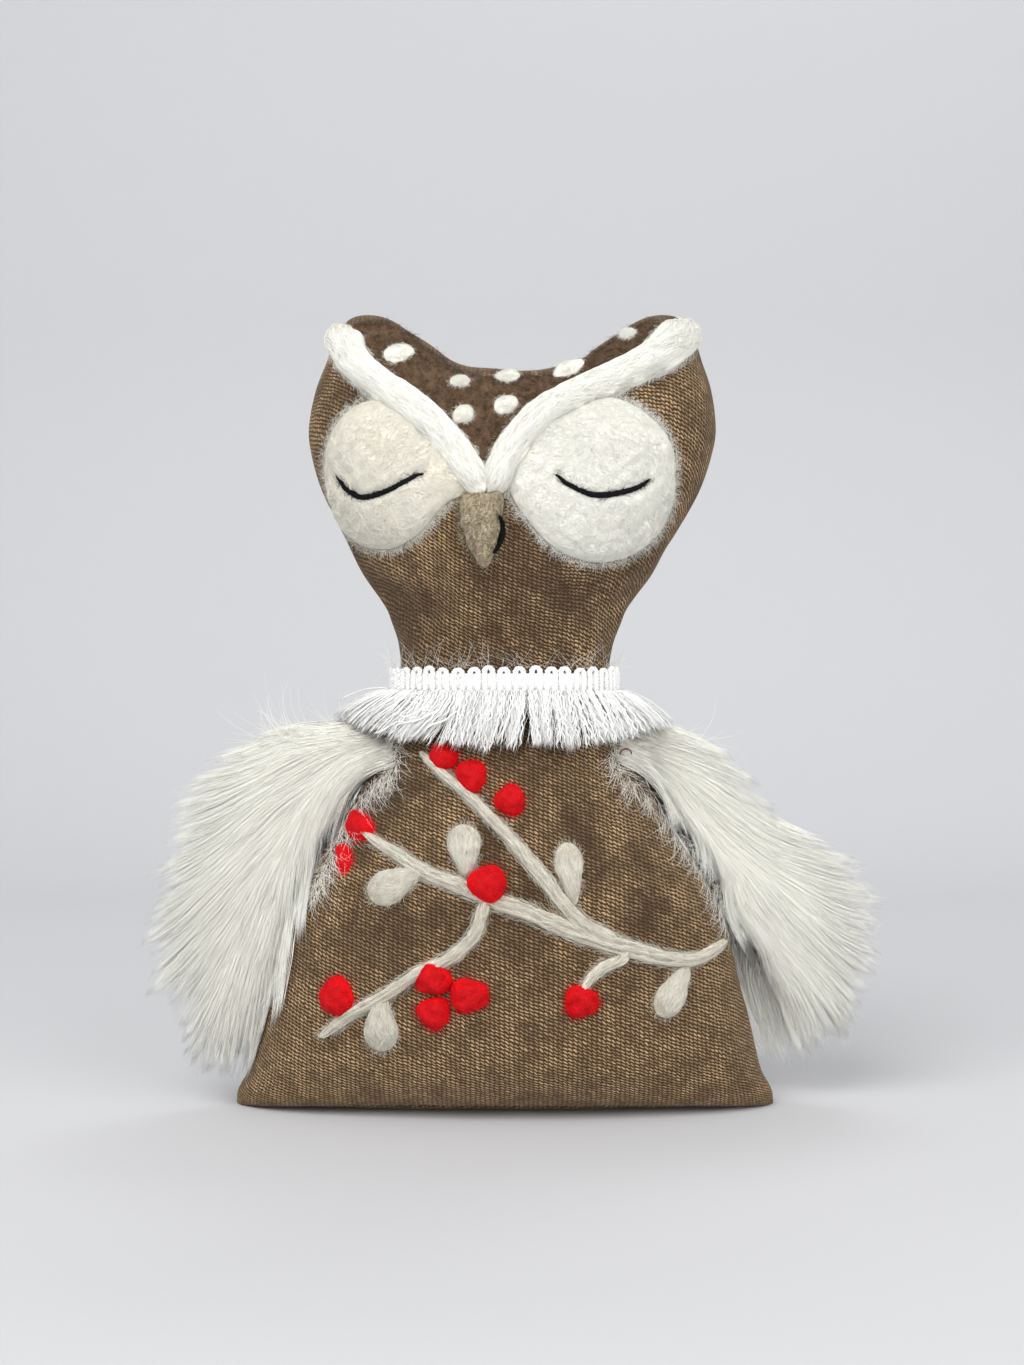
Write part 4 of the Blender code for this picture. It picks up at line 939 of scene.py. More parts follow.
class Ribbon:
    # a felted rope that lies along a path; its half width is a table of share and metres
    def __init__(self, places, halfWidth, crown, seat, lump, groove, seed):
        self.path = smoothPath(places, felting["ropeStep"])
        self.halfTable = smoothTable(halfWidth)
        self.crown, self.seat, self.lump, self.seed = crown, seat, lump, seed
        self.groove = groove     # how deep the furrows between its locks of wool are

    def half(self, share):
        end = np.minimum(share, 1 - share) * len(self.path) * felting["ropeStep"]
        ends = np.minimum(end / felting["ropeEnd"], 1)
        return self.halfTable(share) * (0.35 + 0.65 * np.sqrt(np.clip(ends, 0, 1)))

    def dome(self, offset, share, x, z):
        dome = self.crown * np.sqrt(np.maximum(1 - np.abs(offset) ** 2.2, 0))
        dome = dome * (0.5 + 0.5 * self.half(share) / self.halfTable(share))
        drift = 2.2 * lumps(x, z, felting["furrowDrift"], self.seed + 2)
        rough = roughness(x, z, felting["ropeLumps"], self.seed, self.lump)
        rough = rough + self.groove * np.cos(offset * felting["furrows"] + drift)
        return self.seat + dome + rough * np.minimum(dome / self.crown * 3, 1)

    def height(self, x, z):
        away, share = nearest(self.path[::2], x, z, True)
        return self.dome(away / self.half(share), share, x, z)

    def holds(self, x, z, slack=1.12):
        away, share = nearest(self.path[::2], x, z)
        return away < self.half(share) * slack

    def mesh(self, name, columns):
        aside = headings(self.path)[1]
        share = np.linspace(0, 1, len(self.path))
        offset = np.sin(np.linspace(-1, 1, columns) * math.pi / 2)
        half = self.half(share) * (1 + 0.05 * lumps(share, share * 0, 0.06, self.seed + 5))
        places = self.path[:, None] + aside[:, None] * (half[:, None] * offset)[:, :, None]
        x, z = places[:, :, 0], places[:, :, 1]
        top = onCloth(x, z, self.dome(np.broadcast_to(offset, x.shape), share[:, None], x, z))
        x, z = x[:, ::-3], z[:, ::-3]
        under = onCloth(x, z, np.full(x.shape, self.seat - felting["sunk"]))
        return show(name, ringMesh(name, np.concatenate([top, under], axis=1)))

    def scatter(self, draw, count, low, high):
        along, aside = headings(self.path)
        index = draw.integers(0, len(self.path), count)
        share = index / (len(self.path) - 1)
        offset = draw.uniform(low, high, count) * draw.choice([-1, 1], count)
        places = self.path[index] + aside[index] * (offset * self.half(share))[:, None]
        turn = np.arctan2(along[index, 1], along[index, 0])
        return places, turn


# Fibres on the felt, in metres. follow: how far they stray from the felt's own direction, in
# radians, or None for any way. zone: where they start, as shares of the felt's reach. slack: how
# far past the outline they may lie. outward: they stand off the outline like a halo.
usualFibres = {
    "follow": None, "zone": (0.0, 1.0), "outward": False, "bend": 0.9, "steps": 6, "slack": None,
}
fibres = {
    "eyeFibres": {"count": 4600, "length": 0.0070, "radius": 0.000084, "lift": 0.00048, "bend": 1.3,
                  "slack": 1.05},
    "eyeHalo": {"count": 4600, "length": 0.0034, "radius": 0.000034, "lift": 0.00030, "bend": 2.4,
                "follow": 1.7, "zone": (0.90, 1.05), "outward": True},
    "browFibres": {"count": 4600, "length": 0.0105, "radius": 0.000110, "lift": 0.00070, "bend": 0.45,
                   "follow": 0.26, "slack": 1.2},
    "browHalo": {"count": 2400, "length": 0.0034, "radius": 0.000034, "lift": 0.00045, "bend": 1.8,
                 "follow": 0.45, "zone": (0.80, 1.08), "outward": True},
    "foreheadDotFibres": {"count": 760, "length": 0.0015, "radius": 0.000034, "lift": 0.0003, "bend": 2.6,
                          "follow": 1.9, "zone": (0.2, 1.06), "outward": True, "steps": 5},
    "beakFibres": {"count": 2200, "length": 0.0036, "radius": 0.00010, "lift": 0.0004, "bend": 1.4},
    "beakFray": {"count": 420, "length": 0.0026, "radius": 0.00005, "lift": 0.0007, "follow": 0.9,
                 "zone": (0.9, 1.02), "outward": True},
    "twigFibres": {"length": 0.0090, "radius": 0.000080, "lift": 0.00060, "bend": 0.55, "follow": 0.20,
                   "slack": 1.45},
    "twigHalo": {"length": 0.0028, "radius": 0.000032, "lift": 0.0005, "bend": 1.5, "follow": 0.35,
                 "zone": (0.8, 1.3), "outward": True},
    "leafFibres": {"count": 1500, "length": 0.0064, "radius": 0.000066, "lift": 0.0005, "bend": 1.2,
                   "follow": 0.40, "slack": 1.08},
    "leafHalo": {"count": 480, "length": 0.0026, "radius": 0.000032, "lift": 0.0004, "bend": 1.2,
                 "follow": 0.5, "zone": (0.80, 1.02), "outward": True},
    "berryFibres": {"count": 900, "length": 0.0045, "radius": 0.000060, "lift": 0.0003, "bend": 1.6},
    "berryHalo": {"count": 150, "length": 0.0020, "radius": 0.000036, "lift": 0.0004, "follow": 0.7,
                  "zone": (0.88, 1.05), "outward": True},
}


def runningSum(steps):
    # the sum of the steps before each one
    return np.concatenate([np.zeros((len(steps), 1)), np.cumsum(steps, 1)[:, :-1]], 1)


def layFibres(kind, tag, felt, seed, wear, count=None):
    # wear: body, slot and finish
    look = {**usualFibres, **fibres[kind]}
    count = count or look["count"]
    follow = look["follow"]
    draw = np.random.default_rng(seed)
    start, turn = felt.scatter(draw, count, *look["zone"])
    if follow is None:
        turn = draw.uniform(0, 2 * math.pi, count)
    elif not look["outward"]:
        turn = turn + draw.normal(0, follow, count) + math.pi * draw.integers(0, 2, count)
    elif isinstance(felt, Mound):
        turn = turn + draw.normal(0, follow, count)
    else:
        lean = draw.normal(0.9, 0.5, count)
        closest = np.argmin(np.linalg.norm(start[:, None] - felt.path[None, ::2], axis=2), axis=1) * 2
        away = start - felt.path[closest]
        turned = away[:, 1] * np.cos(turn) - away[:, 0] * np.sin(turn)
        turn = turn + np.where(turned > 0, lean, -lean) * follow
    reach = look["length"] * draw.uniform(0.5, 1.25, count)
    curl = draw.normal(0, look["bend"], count)
    share = np.linspace(0, 1, look["steps"])
    way = turn[:, None] + curl[:, None] * (share - 0.3)
    stride = reach[:, None] / (look["steps"] - 1)
    x = start[:, :1] + runningSum(np.cos(way) * stride)
    z = start[:, 1:] + runningSum(np.sin(way) * stride)
    kept = isOnCloth(x, z, felting["overEdge"]).all(1)
    if look["slack"]:
        kept &= felt.holds(x, z, look["slack"]).all(1)
    elif not look["outward"]:
        kept &= felt.holds(x, z).all(1)
    x, z = x[kept], z[kept]
    count = len(x)
    arch = np.sin(math.pi * (share * 0.75 + 0.1))
    above = look["lift"] * draw.uniform(0.15, 1.0, count)[:, None] * arch
    points = onCloth(x, z, felt.height(x, z) + above)
    taper = np.interp(share, [0, 0.15, 0.7, 1], [0.6, 1, 0.8, 0.25])
    width = look["radius"] * draw.uniform(0.6, 1.2, count)[:, None] * taper
    dress(growStrands(kind + tag, points, width, draw.uniform(0, 1, count), 3, seed), *wear)


def ovalOutline(wide, tall, step, lean, uneven, beat, phase):
    # a table of degrees and reach for an oval that is a little uneven
    outline = []
    for degrees in range(0, 360, step):
        turn = math.radians(degrees - lean)
        reach = 1 / math.hypot(math.cos(turn) / wide, math.sin(turn) / tall)
        outline.append((degrees, reach * (1 + uneven * math.sin(degrees * beat + phase))))
    return outline


# Black thread: twisted plies laid along a path on the felt, with thinner ends and loose fuzz

thread = {
    "plies": 3, "plyShare": 0.62, "fuzzPitch": 0.00009, "fuzzReach": (0.0006, 0.0024),
    "fuzzRadius": 0.00005,
    "taper": ([0, 0.12, 0.5, 0.88, 1], [0.35, 0.85, 1.1, 0.85, 0.3]),
}


def tieThread(name, path, height, radius, twist, node):
    length = np.linalg.norm(np.diff(path, axis=0), axis=1).sum()
    share = np.linspace(0, 1, len(path))
    along, aside = headings(path)
    thick = np.interp(share, *thread["taper"])
    paths = []
    for ply in range(thread["plies"]):
        turn = 2 * math.pi * (ply / thread["plies"] + share * length / twist)
        place = path + aside * (np.cos(turn) * radius * thread["plyShare"] * thick)[:, None]
        above = radius * (0.55 + np.sin(turn) * 0.6 * thick)
        paths.append(onCloth(place[:, 0], place[:, 1], height(place[:, 0], place[:, 1]) + above))
    tones = np.linspace(0, 1, thread["plies"])
    piece = growStrands(name, np.array(paths), radius * thread["plyShare"] * thick, tones, 8)
    dress(piece, "head", "black_thread", "blackThread", (node,))

    draw = np.random.default_rng(len(name) + len(path))
    count = int(length / thread["fuzzPitch"])
    chosen = draw.integers(1, len(path) - 1, count)
    turn = np.arctan2(along[chosen, 1], along[chosen, 0]) + draw.normal(0, 0.5, count)
    turn = turn + math.pi * draw.integers(0, 2, count)
    reach = draw.uniform(*thread["fuzzReach"], count)[:, None] * np.linspace(0, 1, 5)
    offset = draw.normal(0, radius * 0.55, count)[:, None]
    x = path[chosen, :1] + aside[chosen, :1] * offset + np.cos(turn)[:, None] * reach
    z = path[chosen, 1:] + aside[chosen, 1:] * offset + np.sin(turn)[:, None] * reach
    points = onCloth(x, z, height(x, z) + radius * 0.7 * draw.uniform(0.1, 1.9, count)[:, None])
    width = np.full(5, thread["fuzzRadius"])
    fuzz = growStrands(name + "Fuzz", points, width, draw.uniform(0, 1, count))
    dress(fuzz, "head", "black_thread", "blackThread")


# The eyes: felted discs with a stitched lid

eyes = {
    "crown": 0.0038, "power": 3.0, "lump": 0.00021, "lidDent": 0.0011, "lidReach": 0.0017,
    "domeDent": 0.00055, "domeReach": 0.0022, "threadRadius": 0.00080, "threadTwist": 0.0030,
    "left": {
        "middle": (-0.553, 0.549), "wool": "creamWool", "fibre": "creamFibre",
        "outline": [(0, 0.0290), (18, 0.0268), (38, 0.0244), (59, 0.0238), (89, 0.0248), (113, 0.0248),
                    (139, 0.0230), (175, 0.0198), (200, 0.0196), (235, 0.0210), (270, 0.0216), (300, 0.0202),
                    (325, 0.0196), (340, 0.0216), (350, 0.0270)],
        "lid": [(-0.776, 0.533), (-0.715, 0.504), (-0.642, 0.489), (-0.539, 0.513), (-0.463, 0.546),
                (-0.398, 0.584), (-0.366, 0.598)],
        "dome": [(-0.79, 0.54), (-0.80, 0.63), (-0.74, 0.73), (-0.60, 0.80), (-0.46, 0.78), (-0.37, 0.70),
                 (-0.35, 0.61)],
    },
    "right": {
        "middle": (0.431, 0.569), "wool": "whiteWool", "fibre": "whiteFibre",
        "outline": [(2, 0.0247), (26, 0.0260), (55, 0.0260), (89, 0.0264), (117, 0.0254), (151, 0.0252),
                    (180, 0.0280), (196, 0.0266), (212, 0.0250), (238, 0.0252), (270, 0.0254), (303, 0.0250),
                    (336, 0.0249)],
        "lid": [(0.234, 0.606), (0.291, 0.571), (0.380, 0.531), (0.453, 0.513), (0.537, 0.509),
                (0.603, 0.514), (0.658, 0.530)],
        "dome": [(0.21, 0.62), (0.22, 0.72), (0.31, 0.81), (0.45, 0.84), (0.60, 0.79), (0.69, 0.68),
                 (0.70, 0.57)],
    },
}


def makeEyes():
    for word in ("left", "right"):
        eye = eyes[word]
        side = word.capitalize()
        felt = Mound(onHead(*eye["middle"]), eye["outline"], eyes["crown"], eyes["power"], 0.0,
                     eyes["lump"], 20 + len(word))
        lid = headPath(eye["lid"], 0.0006)
        felt.dents.append((lid[::3], eyes["lidDent"], eyes["lidReach"]))
        felt.dents.append((headPath(eye["dome"], 0.002), eyes["domeDent"], eyes["domeReach"]))
        disc = felt.mesh("eyeDisc" + side, 30, 110)
        dress(disc, "head", "ivory_wool", eye["wool"], ("eye_disc_" + word,))
        wear = ("head", "ivory_wool", eye["fibre"])
        layFibres("eyeFibres", side, felt, 30 + len(word), wear)
        layFibres("eyeHalo", side, felt, 31 + len(word), wear)
        tieThread("lidThread" + side, lid, felt.height, eyes["threadRadius"], eyes["threadTwist"],
                  "eyelid_stitch_" + word)


makeEyes()
print("eyes made")


# The brows: thick ropes of carded wool from the ear tips down to the beak

brows = {
    "crown": 0.0052, "seat": 0.0006, "lump": 0.00014, "groove": 0.00026,
    "left": {
        "path": [(-0.752, 0.945), (-0.757, 0.912), (-0.709, 0.851), (-0.591, 0.811), (-0.453, 0.785),
                 (-0.326, 0.754), (-0.228, 0.688), (-0.154, 0.618), (-0.085, 0.560)],
        "half": [(0.0, 0.0054), (0.12, 0.0052), (0.3, 0.0046), (0.5, 0.0048), (0.75, 0.0048),
                 (1.0, 0.0048)],
    },
    "right": {
        "path": [(0.838, 0.950), (0.824, 0.915), (0.711, 0.857), (0.520, 0.844), (0.356, 0.852),
                 (0.192, 0.815), (0.081, 0.744), (0.007, 0.667), (-0.042, 0.596), (-0.070, 0.556)],
        "half": [(0.0, 0.0068), (0.10, 0.0062), (0.25, 0.0046), (0.5, 0.0042), (0.75, 0.0048),
                 (1.0, 0.0048)],
    },
}


def makeBrows():
    for word in ("left", "right"):
        side = word.capitalize()
        brow = brows[word]
        felt = Ribbon(onHead(*np.array(brow["path"]).T), brow["half"], brows["crown"], brows["seat"],
                      brows["lump"], brows["groove"], 40 + len(word))
        dress(felt.mesh("brow" + side, 31), "head", "ivory_wool", "browWool", ("brow_" + word,))
        seed = 50 + 3 * len(word)
        layFibres("browFibres", side, felt, seed, ("head", "ivory_wool", "whiteFibre"))
        layFibres("browHalo", side, felt, seed + 1, ("head", "ivory_wool", "whiteFibre"))


makeBrows()
print("brows made")


# The forehead: a dark felted patch and its light dots

forehead = {
    "patchCrown": 0.0008, "topMargin": 0.0042, "browMargin": 0.0010, "sideShare": 0.82,
    "rows": 22, "thinnest": 0.002, "fuzz": 5200, "fuzzSteps": 4, "fuzzReach": (0.0008, 0.0024),
    "fuzzRise": (0.0002, 0.0010), "fuzzRadius": 0.00006,
    "dotCrown": 0.0013, "dotSeat": 0.0009, "dotLump": 0.00010, "dotUneven": 0.12,
    "dots": [  # across, up, half width, half height, lean in degrees
        (-0.505, 0.932, 0.0044, 0.0032, 8), (-0.209, 0.922, 0.0034, 0.0018, 5),
        (0.011, 0.950, 0.0042, 0.0018, 4), (0.006, 0.846, 0.0036, 0.0030, 20),
        (-0.189, 0.808, 0.0036, 0.0028, 35), (0.303, 0.962, 0.0060, 0.0025, 24),
        (0.592, 0.968, 0.0025, 0.0016, 12),
    ],
}


def makeForehead():
    left, right = (onHead(*np.array(brows[word]["path"]).T) for word in ("left", "right"))
    edge = np.concatenate([smoothPath(left, 0.001), smoothPath(right, 0.001)])
    edge = edge[np.argsort(edge[:, 0])]
    x = np.linspace(left[2, 0], right[2, 0], 120)
    low = np.interp(x, *edge.T) + forehead["browMargin"]
    across = (x - cloth["headLean"]) / (cloth["headHalfWidth"] * forehead["sideShare"])
    high = cloth["neckHeight"] + crownHeight(across) - forehead["topMargin"]
    wide = high - low > forehead["thinnest"]
    z = np.linspace(low[wide], high[wide], forehead["rows"], axis=1)
    x = np.broadcast_to(x[wide, None], z.shape)
    places = np.stack([x, z], -1)
    rim = np.minimum(np.linspace(0, 1, forehead["rows"]), np.linspace(1, 0, forehead["rows"])) * 6
    height = forehead["patchCrown"] * np.minimum(rim, 1) ** 0.5 * (1 + 0.35 * lumps(x, z, 0.0018, 61))
    outer = onCloth(x, z, 0.0001 + height)
    inner = onCloth(x, z, np.full(x.shape, -felting["sunk"]))
    patch = closedSheet("foreheadPatch", outer, inner)
    dress(patch, "head", "dark_felt", "darkWool", ("forehead_patch",))

    draw = np.random.default_rng(62)
    count = forehead["fuzz"]
    chosen = places[draw.integers(0, len(places), count), draw.integers(0, forehead["rows"], count)]
    chosen = chosen + draw.normal(0, 0.0005, chosen.shape)
    share = np.linspace(0, 1, forehead["fuzzSteps"])
    turn = draw.uniform(0, 2 * math.pi, count)[:, None] + draw.normal(0, 1.2, count)[:, None] * share
    reach = draw.uniform(*forehead["fuzzReach"], count)[:, None]
    x = chosen[:, :1] + np.cos(turn) * reach * share
    z = chosen[:, 1:] + np.sin(turn) * reach * share
    rise = draw.uniform(*forehead["fuzzRise"], count)[:, None] * share
    points = onCloth(x, z, forehead["patchCrown"] * 0.7 + rise)
    width = np.full(forehead["fuzzSteps"], forehead["fuzzRadius"])
    fuzz = growStrands("foreheadFuzz", points, width, draw.uniform(0, 1, count))
    dress(fuzz, "head", "dark_felt", "darkFibre")

    wear = ("head", "ivory_wool", "whiteFibre")
    for number, (across, up, wide, tall, lean) in enumerate(forehead["dots"], 1):
        outline = ovalOutline(wide, tall, 30, lean, forehead["dotUneven"], 1.7, number * 2.1)
        felt = Mound(onHead(across, up), outline, forehead["dotCrown"], 2.0, forehead["dotSeat"],
                     forehead["dotLump"], 70 + number)
        dot = felt.mesh("foreheadDot%d" % number, 10, 40)
        dress(dot, "head", "ivory_wool", "browWool", ("forehead_dot_%d" % number,))
        layFibres("foreheadDotFibres", str(number), felt, 80 + number, wear)


makeForehead()
print("forehead made")


# The beak: a folded scrap of tweedy felt with one black stitch beside it

beak = {
    "middle": (-0.108, 0.468), "crown": 0.0078, "power": 1.9, "lump": 0.00045,
    "threadRadius": 0.00075, "threadTwist": 0.0040,
    "outline": [(0, 0.0060), (30, 0.0078), (56, 0.0113), (74, 0.0100), (90, 0.0095), (106, 0.0098),
                (122, 0.0105), (150, 0.0076), (180, 0.0064), (215, 0.0064), (240, 0.0082), (258, 0.0104),
                (274, 0.0140), (292, 0.0106), (315, 0.0072)],
    "stitch": [(-0.020, 0.486), (-0.010, 0.462), (-0.008, 0.436), (-0.022, 0.405), (-0.050, 0.372)],
    "ridge": [(-0.015, 0.56), (-0.060, 0.45), (-0.085, 0.34)],
    "ridgeHeight": 0.0012, "ridgeReach": 0.0016,
}


def makeBeak():
    felt = Mound(onHead(*beak["middle"]), beak["outline"], beak["crown"], beak["power"], 0.0,
                 beak["lump"], 91)
    felt.dents.append((headPath(beak["ridge"], 0.001), -beak["ridgeHeight"], beak["ridgeReach"]))
    dress(felt.mesh("beak", 26, 70), "head", "beak_felt", "beakWool", ("beak",))
    layFibres("beakFibres", "", felt, 92, ("head", "beak_felt", "beakFibre"))
    layFibres("beakFray", "", felt, 93, ("head", "beak_felt", "beakFibre"))
    tieThread("beakThread", headPath(beak["stitch"], 0.0005), felt.height, beak["threadRadius"],
              beak["threadTwist"], "beak_stitch")


makeBeak()
print("beak made")


# The sprig: twigs, leaves and berries felted to the torso

sprig = {
    "twigCrown": 0.0021, "twigLump": 0.0002, "twigGroove": 0.00030, "twigFibres": 13,
    "leafCrown": 0.0026, "leafPower": 2.2, "leafSeat": 0.0002, "leafLump": 0.00022,
    "berryCrown": 0.00483, "berryPower": 2.1, "berryLump": 0.00042, "berryRadius": 0.0053,
    "berryUneven": 0.08, "onTwig": {6: 0.0018},
    "twigs": {
        "main": {
            "path": [(0.800, 0.388), (0.745, 0.372), (0.675, 0.357), (0.576, 0.364), (0.392, 0.399),
                     (0.244, 0.430), (0.106, 0.466), (-0.028, 0.496), (-0.166, 0.532), (-0.279, 0.558),
                     (-0.388, 0.598), (-0.462, 0.620), (-0.508, 0.642)],
            "half": [(0.0, 0.0016), (0.12, 0.0020), (0.35, 0.0026), (0.6, 0.0024), (0.85, 0.0019),
                     (1.0, 0.0012)],
        },
        "upper": {
            "path": [(-0.297, 0.820), (-0.230, 0.778), (-0.131, 0.728), (-0.004, 0.647), (0.106, 0.569),
                     (0.194, 0.501), (0.262, 0.452), (0.330, 0.424), (0.400, 0.404)],
            "half": [(0.0, 0.0013), (0.4, 0.0017), (0.8, 0.0022), (1.0, 0.0024)],
        },
        "lower": {
            "path": [(-0.060, 0.508), (-0.080, 0.470), (-0.106, 0.424), (-0.180, 0.377), (-0.304, 0.338),
                     (-0.413, 0.291), (-0.537, 0.245), (-0.655, 0.188)],
            "half": [(0.0, 0.0019), (0.4, 0.0018), (0.8, 0.0017), (1.0, 0.0014)],
        },
        "small": {
            "path": [(0.436, 0.392), (0.410, 0.368), (0.341, 0.349), (0.295, 0.320), (0.270, 0.298)],
            "half": [(0.0, 0.0019), (0.5, 0.0017), (1.0, 0.0014)],
        },
    },
    "leaves": [  # start, degrees, length, half width
        (-0.287, 0.564, 208, 0.0195, 0.0046), (-0.128, 0.548, 97, 0.0165, 0.0047),
        (0.245, 0.488, 98, 0.0195, 0.0037), (-0.434, 0.290, 270, 0.0180, 0.0047),
        (0.648, 0.348, 241, 0.0180, 0.0041),
    ],
    "berries": [  # across, up, half width and half height as shares of the radius
        (-0.217, 0.810, 0.80, 0.80), (-0.118, 0.769, 0.88, 1.0), (0.020, 0.716, 0.88, 0.90),
        (-0.521, 0.650, 0.82, 0.85), (-0.578, 0.580, 0.48, 0.88), (-0.058, 0.534, 1.14, 1.04),
        (-0.250, 0.327, 1.08, 0.92), (-0.126, 0.292, 1.14, 0.98), (-0.246, 0.252, 0.98, 0.95),
        (-0.592, 0.280, 0.98, 1.15), (0.268, 0.276, 1.0, 0.95),
    ],
}


def makeTwigs():
    wear = ("body", "twig_wool", "twigFibre")
    for number, (name, twig) in enumerate(sprig["twigs"].items()):
        felt = Ribbon(onTorso(*np.array(twig["path"]).T), twig["half"], sprig["twigCrown"], 0.0,
                      sprig["twigLump"], sprig["twigGroove"], 100 + number)
        rope = felt.mesh("twig" + name.capitalize(), 21)
        dress(rope, "body", "twig_wool", "twigWool", ("twig_" + name,))
        count = len(felt.path) * sprig["twigFibres"]
        layFibres("twigFibres", name.capitalize(), felt, 110 + number, wear, count)
        layFibres("twigHalo", name.capitalize(), felt, 120 + number, wear, count * 2 // 3)


def leafOutline(length, half, degrees):
    # a teardrop seen from its middle, drawn out at its stalk and blunt at the far end
    outline = []
    for turn in range(0, 360, 15):
        angle = math.radians(turn)
        full = half * (1 + 0.35 * math.cos(angle))
        reach = 1 / math.hypot(math.cos(angle) / (length / 2), math.sin(angle) / full)
        outline.append(((turn + degrees) % 360, reach))
    return outline


def makeLeaves():
    wear = ("body", "twig_wool", "twigFibre")
    for number, (across, up, degrees, length, half) in enumerate(sprig["leaves"], 1):
        grain = math.radians(degrees)
        middle = onTorso(across, up) + np.array([math.cos(grain), math.sin(grain)]) * length * 0.48
        felt = Mound(middle, leafOutline(length, half, degrees), sprig["leafCrown"], sprig["leafPower"],
                     sprig["leafSeat"], sprig["leafLump"], 130 + number, grain)
        leaf = felt.mesh("leaf%d" % number, 16, 60)
        dress(leaf, "body", "twig_wool", "twigWool", ("leaf_%d" % number,))
        layFibres("leafFibres", str(number), felt, 140 + number, wear)
        layFibres("leafHalo", str(number), felt, 150 + number, wear)


def makeBerries():
    wear = ("body", "red_wool", "redFibre")
    for number, (across, up, wide, tall) in enumerate(sprig["berries"], 1):
        outline = ovalOutline(wide * sprig["berryRadius"], tall * sprig["berryRadius"], 24, 0,
                              sprig["berryUneven"], 2.3, number * 1.9)
        seat = sprig["onTwig"].get(number, 0.0)
        felt = Mound(onTorso(across, up), outline, sprig["berryCrown"] * min(wide, tall),
                     sprig["berryPower"], seat, sprig["berryLump"], 160 + number)
        berry = felt.mesh("berry%d" % number, 18, 56)
        dress(berry, "body", "red_wool", "redWool", ("berry_%d" % number,))
        layFibres("berryFibres", str(number), felt, 180 + number, wear)
        layFibres("berryHalo", str(number), felt, 200 + number, wear)


makeTwigs()
makeLeaves()
makeBerries()
print("sprig made")


# The collar: a braid of cord loops, and the fringe of threads that hangs from it

collar = {
    "height": collarHeight, "bandHeight": 0.0080, "halfWidth": 0.0357, "halfDepth": 0.0272,
    "loops": 43, "cord": 0.00074, "ply": 0.00070, "plyTwist": 0.0021, "loopHalf": 0.00124,
    "loopOut": 0.0011, "tape": 0.72, "tapeFaces": (0.0002, 0.0009),
    "threads": 820, "threadLength": 0.0192, "threadRadius": 0.00030, "sideTilt": (80, 42),
    "frontTilt": (40, 4), "wave": 0.00032, "wavePitch": 0.0040, "parting": 0.0068,
    "rightDrop": 0.84, "tuft": 0.0034, "partingHalf": 0.0004, "fluff": 2600, "fluffRadius": 0.00006,
    "strays": 300, "strayReach": (0.003, 0.011), "strayRadii": (0.00003, 0.000015),
    "yarnOut": 0.0034, "yarnSlope": 0.62, "yarnRadii": (0.00020, 0.00030, 0.00028, 0.0001),
    "yarns": [  # start and end along the front, and how far down each end lies
        (-0.0285, -0.0395, 0.0012, 0.0052), (-0.0250, -0.0370, 0.0006, 0.0038),
        (-0.0225, -0.0400, 0.0036, 0.0046), (-0.0210, -0.0330, 0.0050, 0.0076),
        (-0.0240, -0.0345, 0.0066, 0.0088), (-0.0180, -0.0290, 0.0060, 0.0110),
        (-0.0330, -0.0430, 0.0040, 0.0100), (-0.0360, -0.0460, 0.0020, 0.0072),
        (-0.0270, -0.0360, 0.0090, 0.0135), (-0.0135, -0.0215, 0.0064, 0.0124),
    ],
}
# how far the threads sweep aside, by the place round the front, in metres from its middle
sweepTable = smoothTable([
    (-0.100, 0.0), (-0.062, -0.20), (-0.045, -0.46), (-0.033, -0.54), (-0.022, -0.50), (-0.010, -0.38),
    (0.000, -0.26), (0.0060, -0.16), (0.0074, 0.06), (0.016, 0.13), (0.028, 0.24), (0.040, 0.34),
    (0.062, 0.14), (0.100, 0.0),
])


def ringPlaces(halfWidth, halfDepth, count):
    # even places round a level ring, from the middle of its front towards the right
    turn = np.linspace(0, 2 * math.pi, 4 * count + 1) - math.pi / 2
    x, y = halfWidth * rounded(np.cos(turn)), halfDepth * rounded(np.sin(turn))
    length = np.concatenate([[0], np.cumsum(np.hypot(np.diff(x), np.diff(y)))])
    places = np.linspace(0, length[-1], count + 1)
    return np.stack([np.interp(places, length, x), np.interp(places, length, y)], -1), length[-1]


collarRing, collarGirth = ringPlaces(collar["halfWidth"], collar["halfDepth"], 720)
collarLow = collar["height"] - collar["bandHeight"] / 2


def onCollar(along, outward, height):
    # along is the distance round the collar, outward the distance from its cloth
    share = (along / collarGirth) % 1.0 * (len(collarRing) - 1)
    index = np.clip(share.astype(int), 0, len(collarRing) - 2)
    part = (share - index)[..., None]
    place = collarRing[index] * (1 - part) + collarRing[index + 1] * part
    run = collarRing[index + 1] - collarRing[index]
    out = np.stack([run[..., 1], -run[..., 0]], -1)
    out /= np.linalg.norm(out, axis=-1, keepdims=True)
    place = place + out * np.asarray(outward)[..., None]
    return np.stack([place[..., 0], place[..., 1], np.broadcast_to(height, place.shape[:-1])], -1)


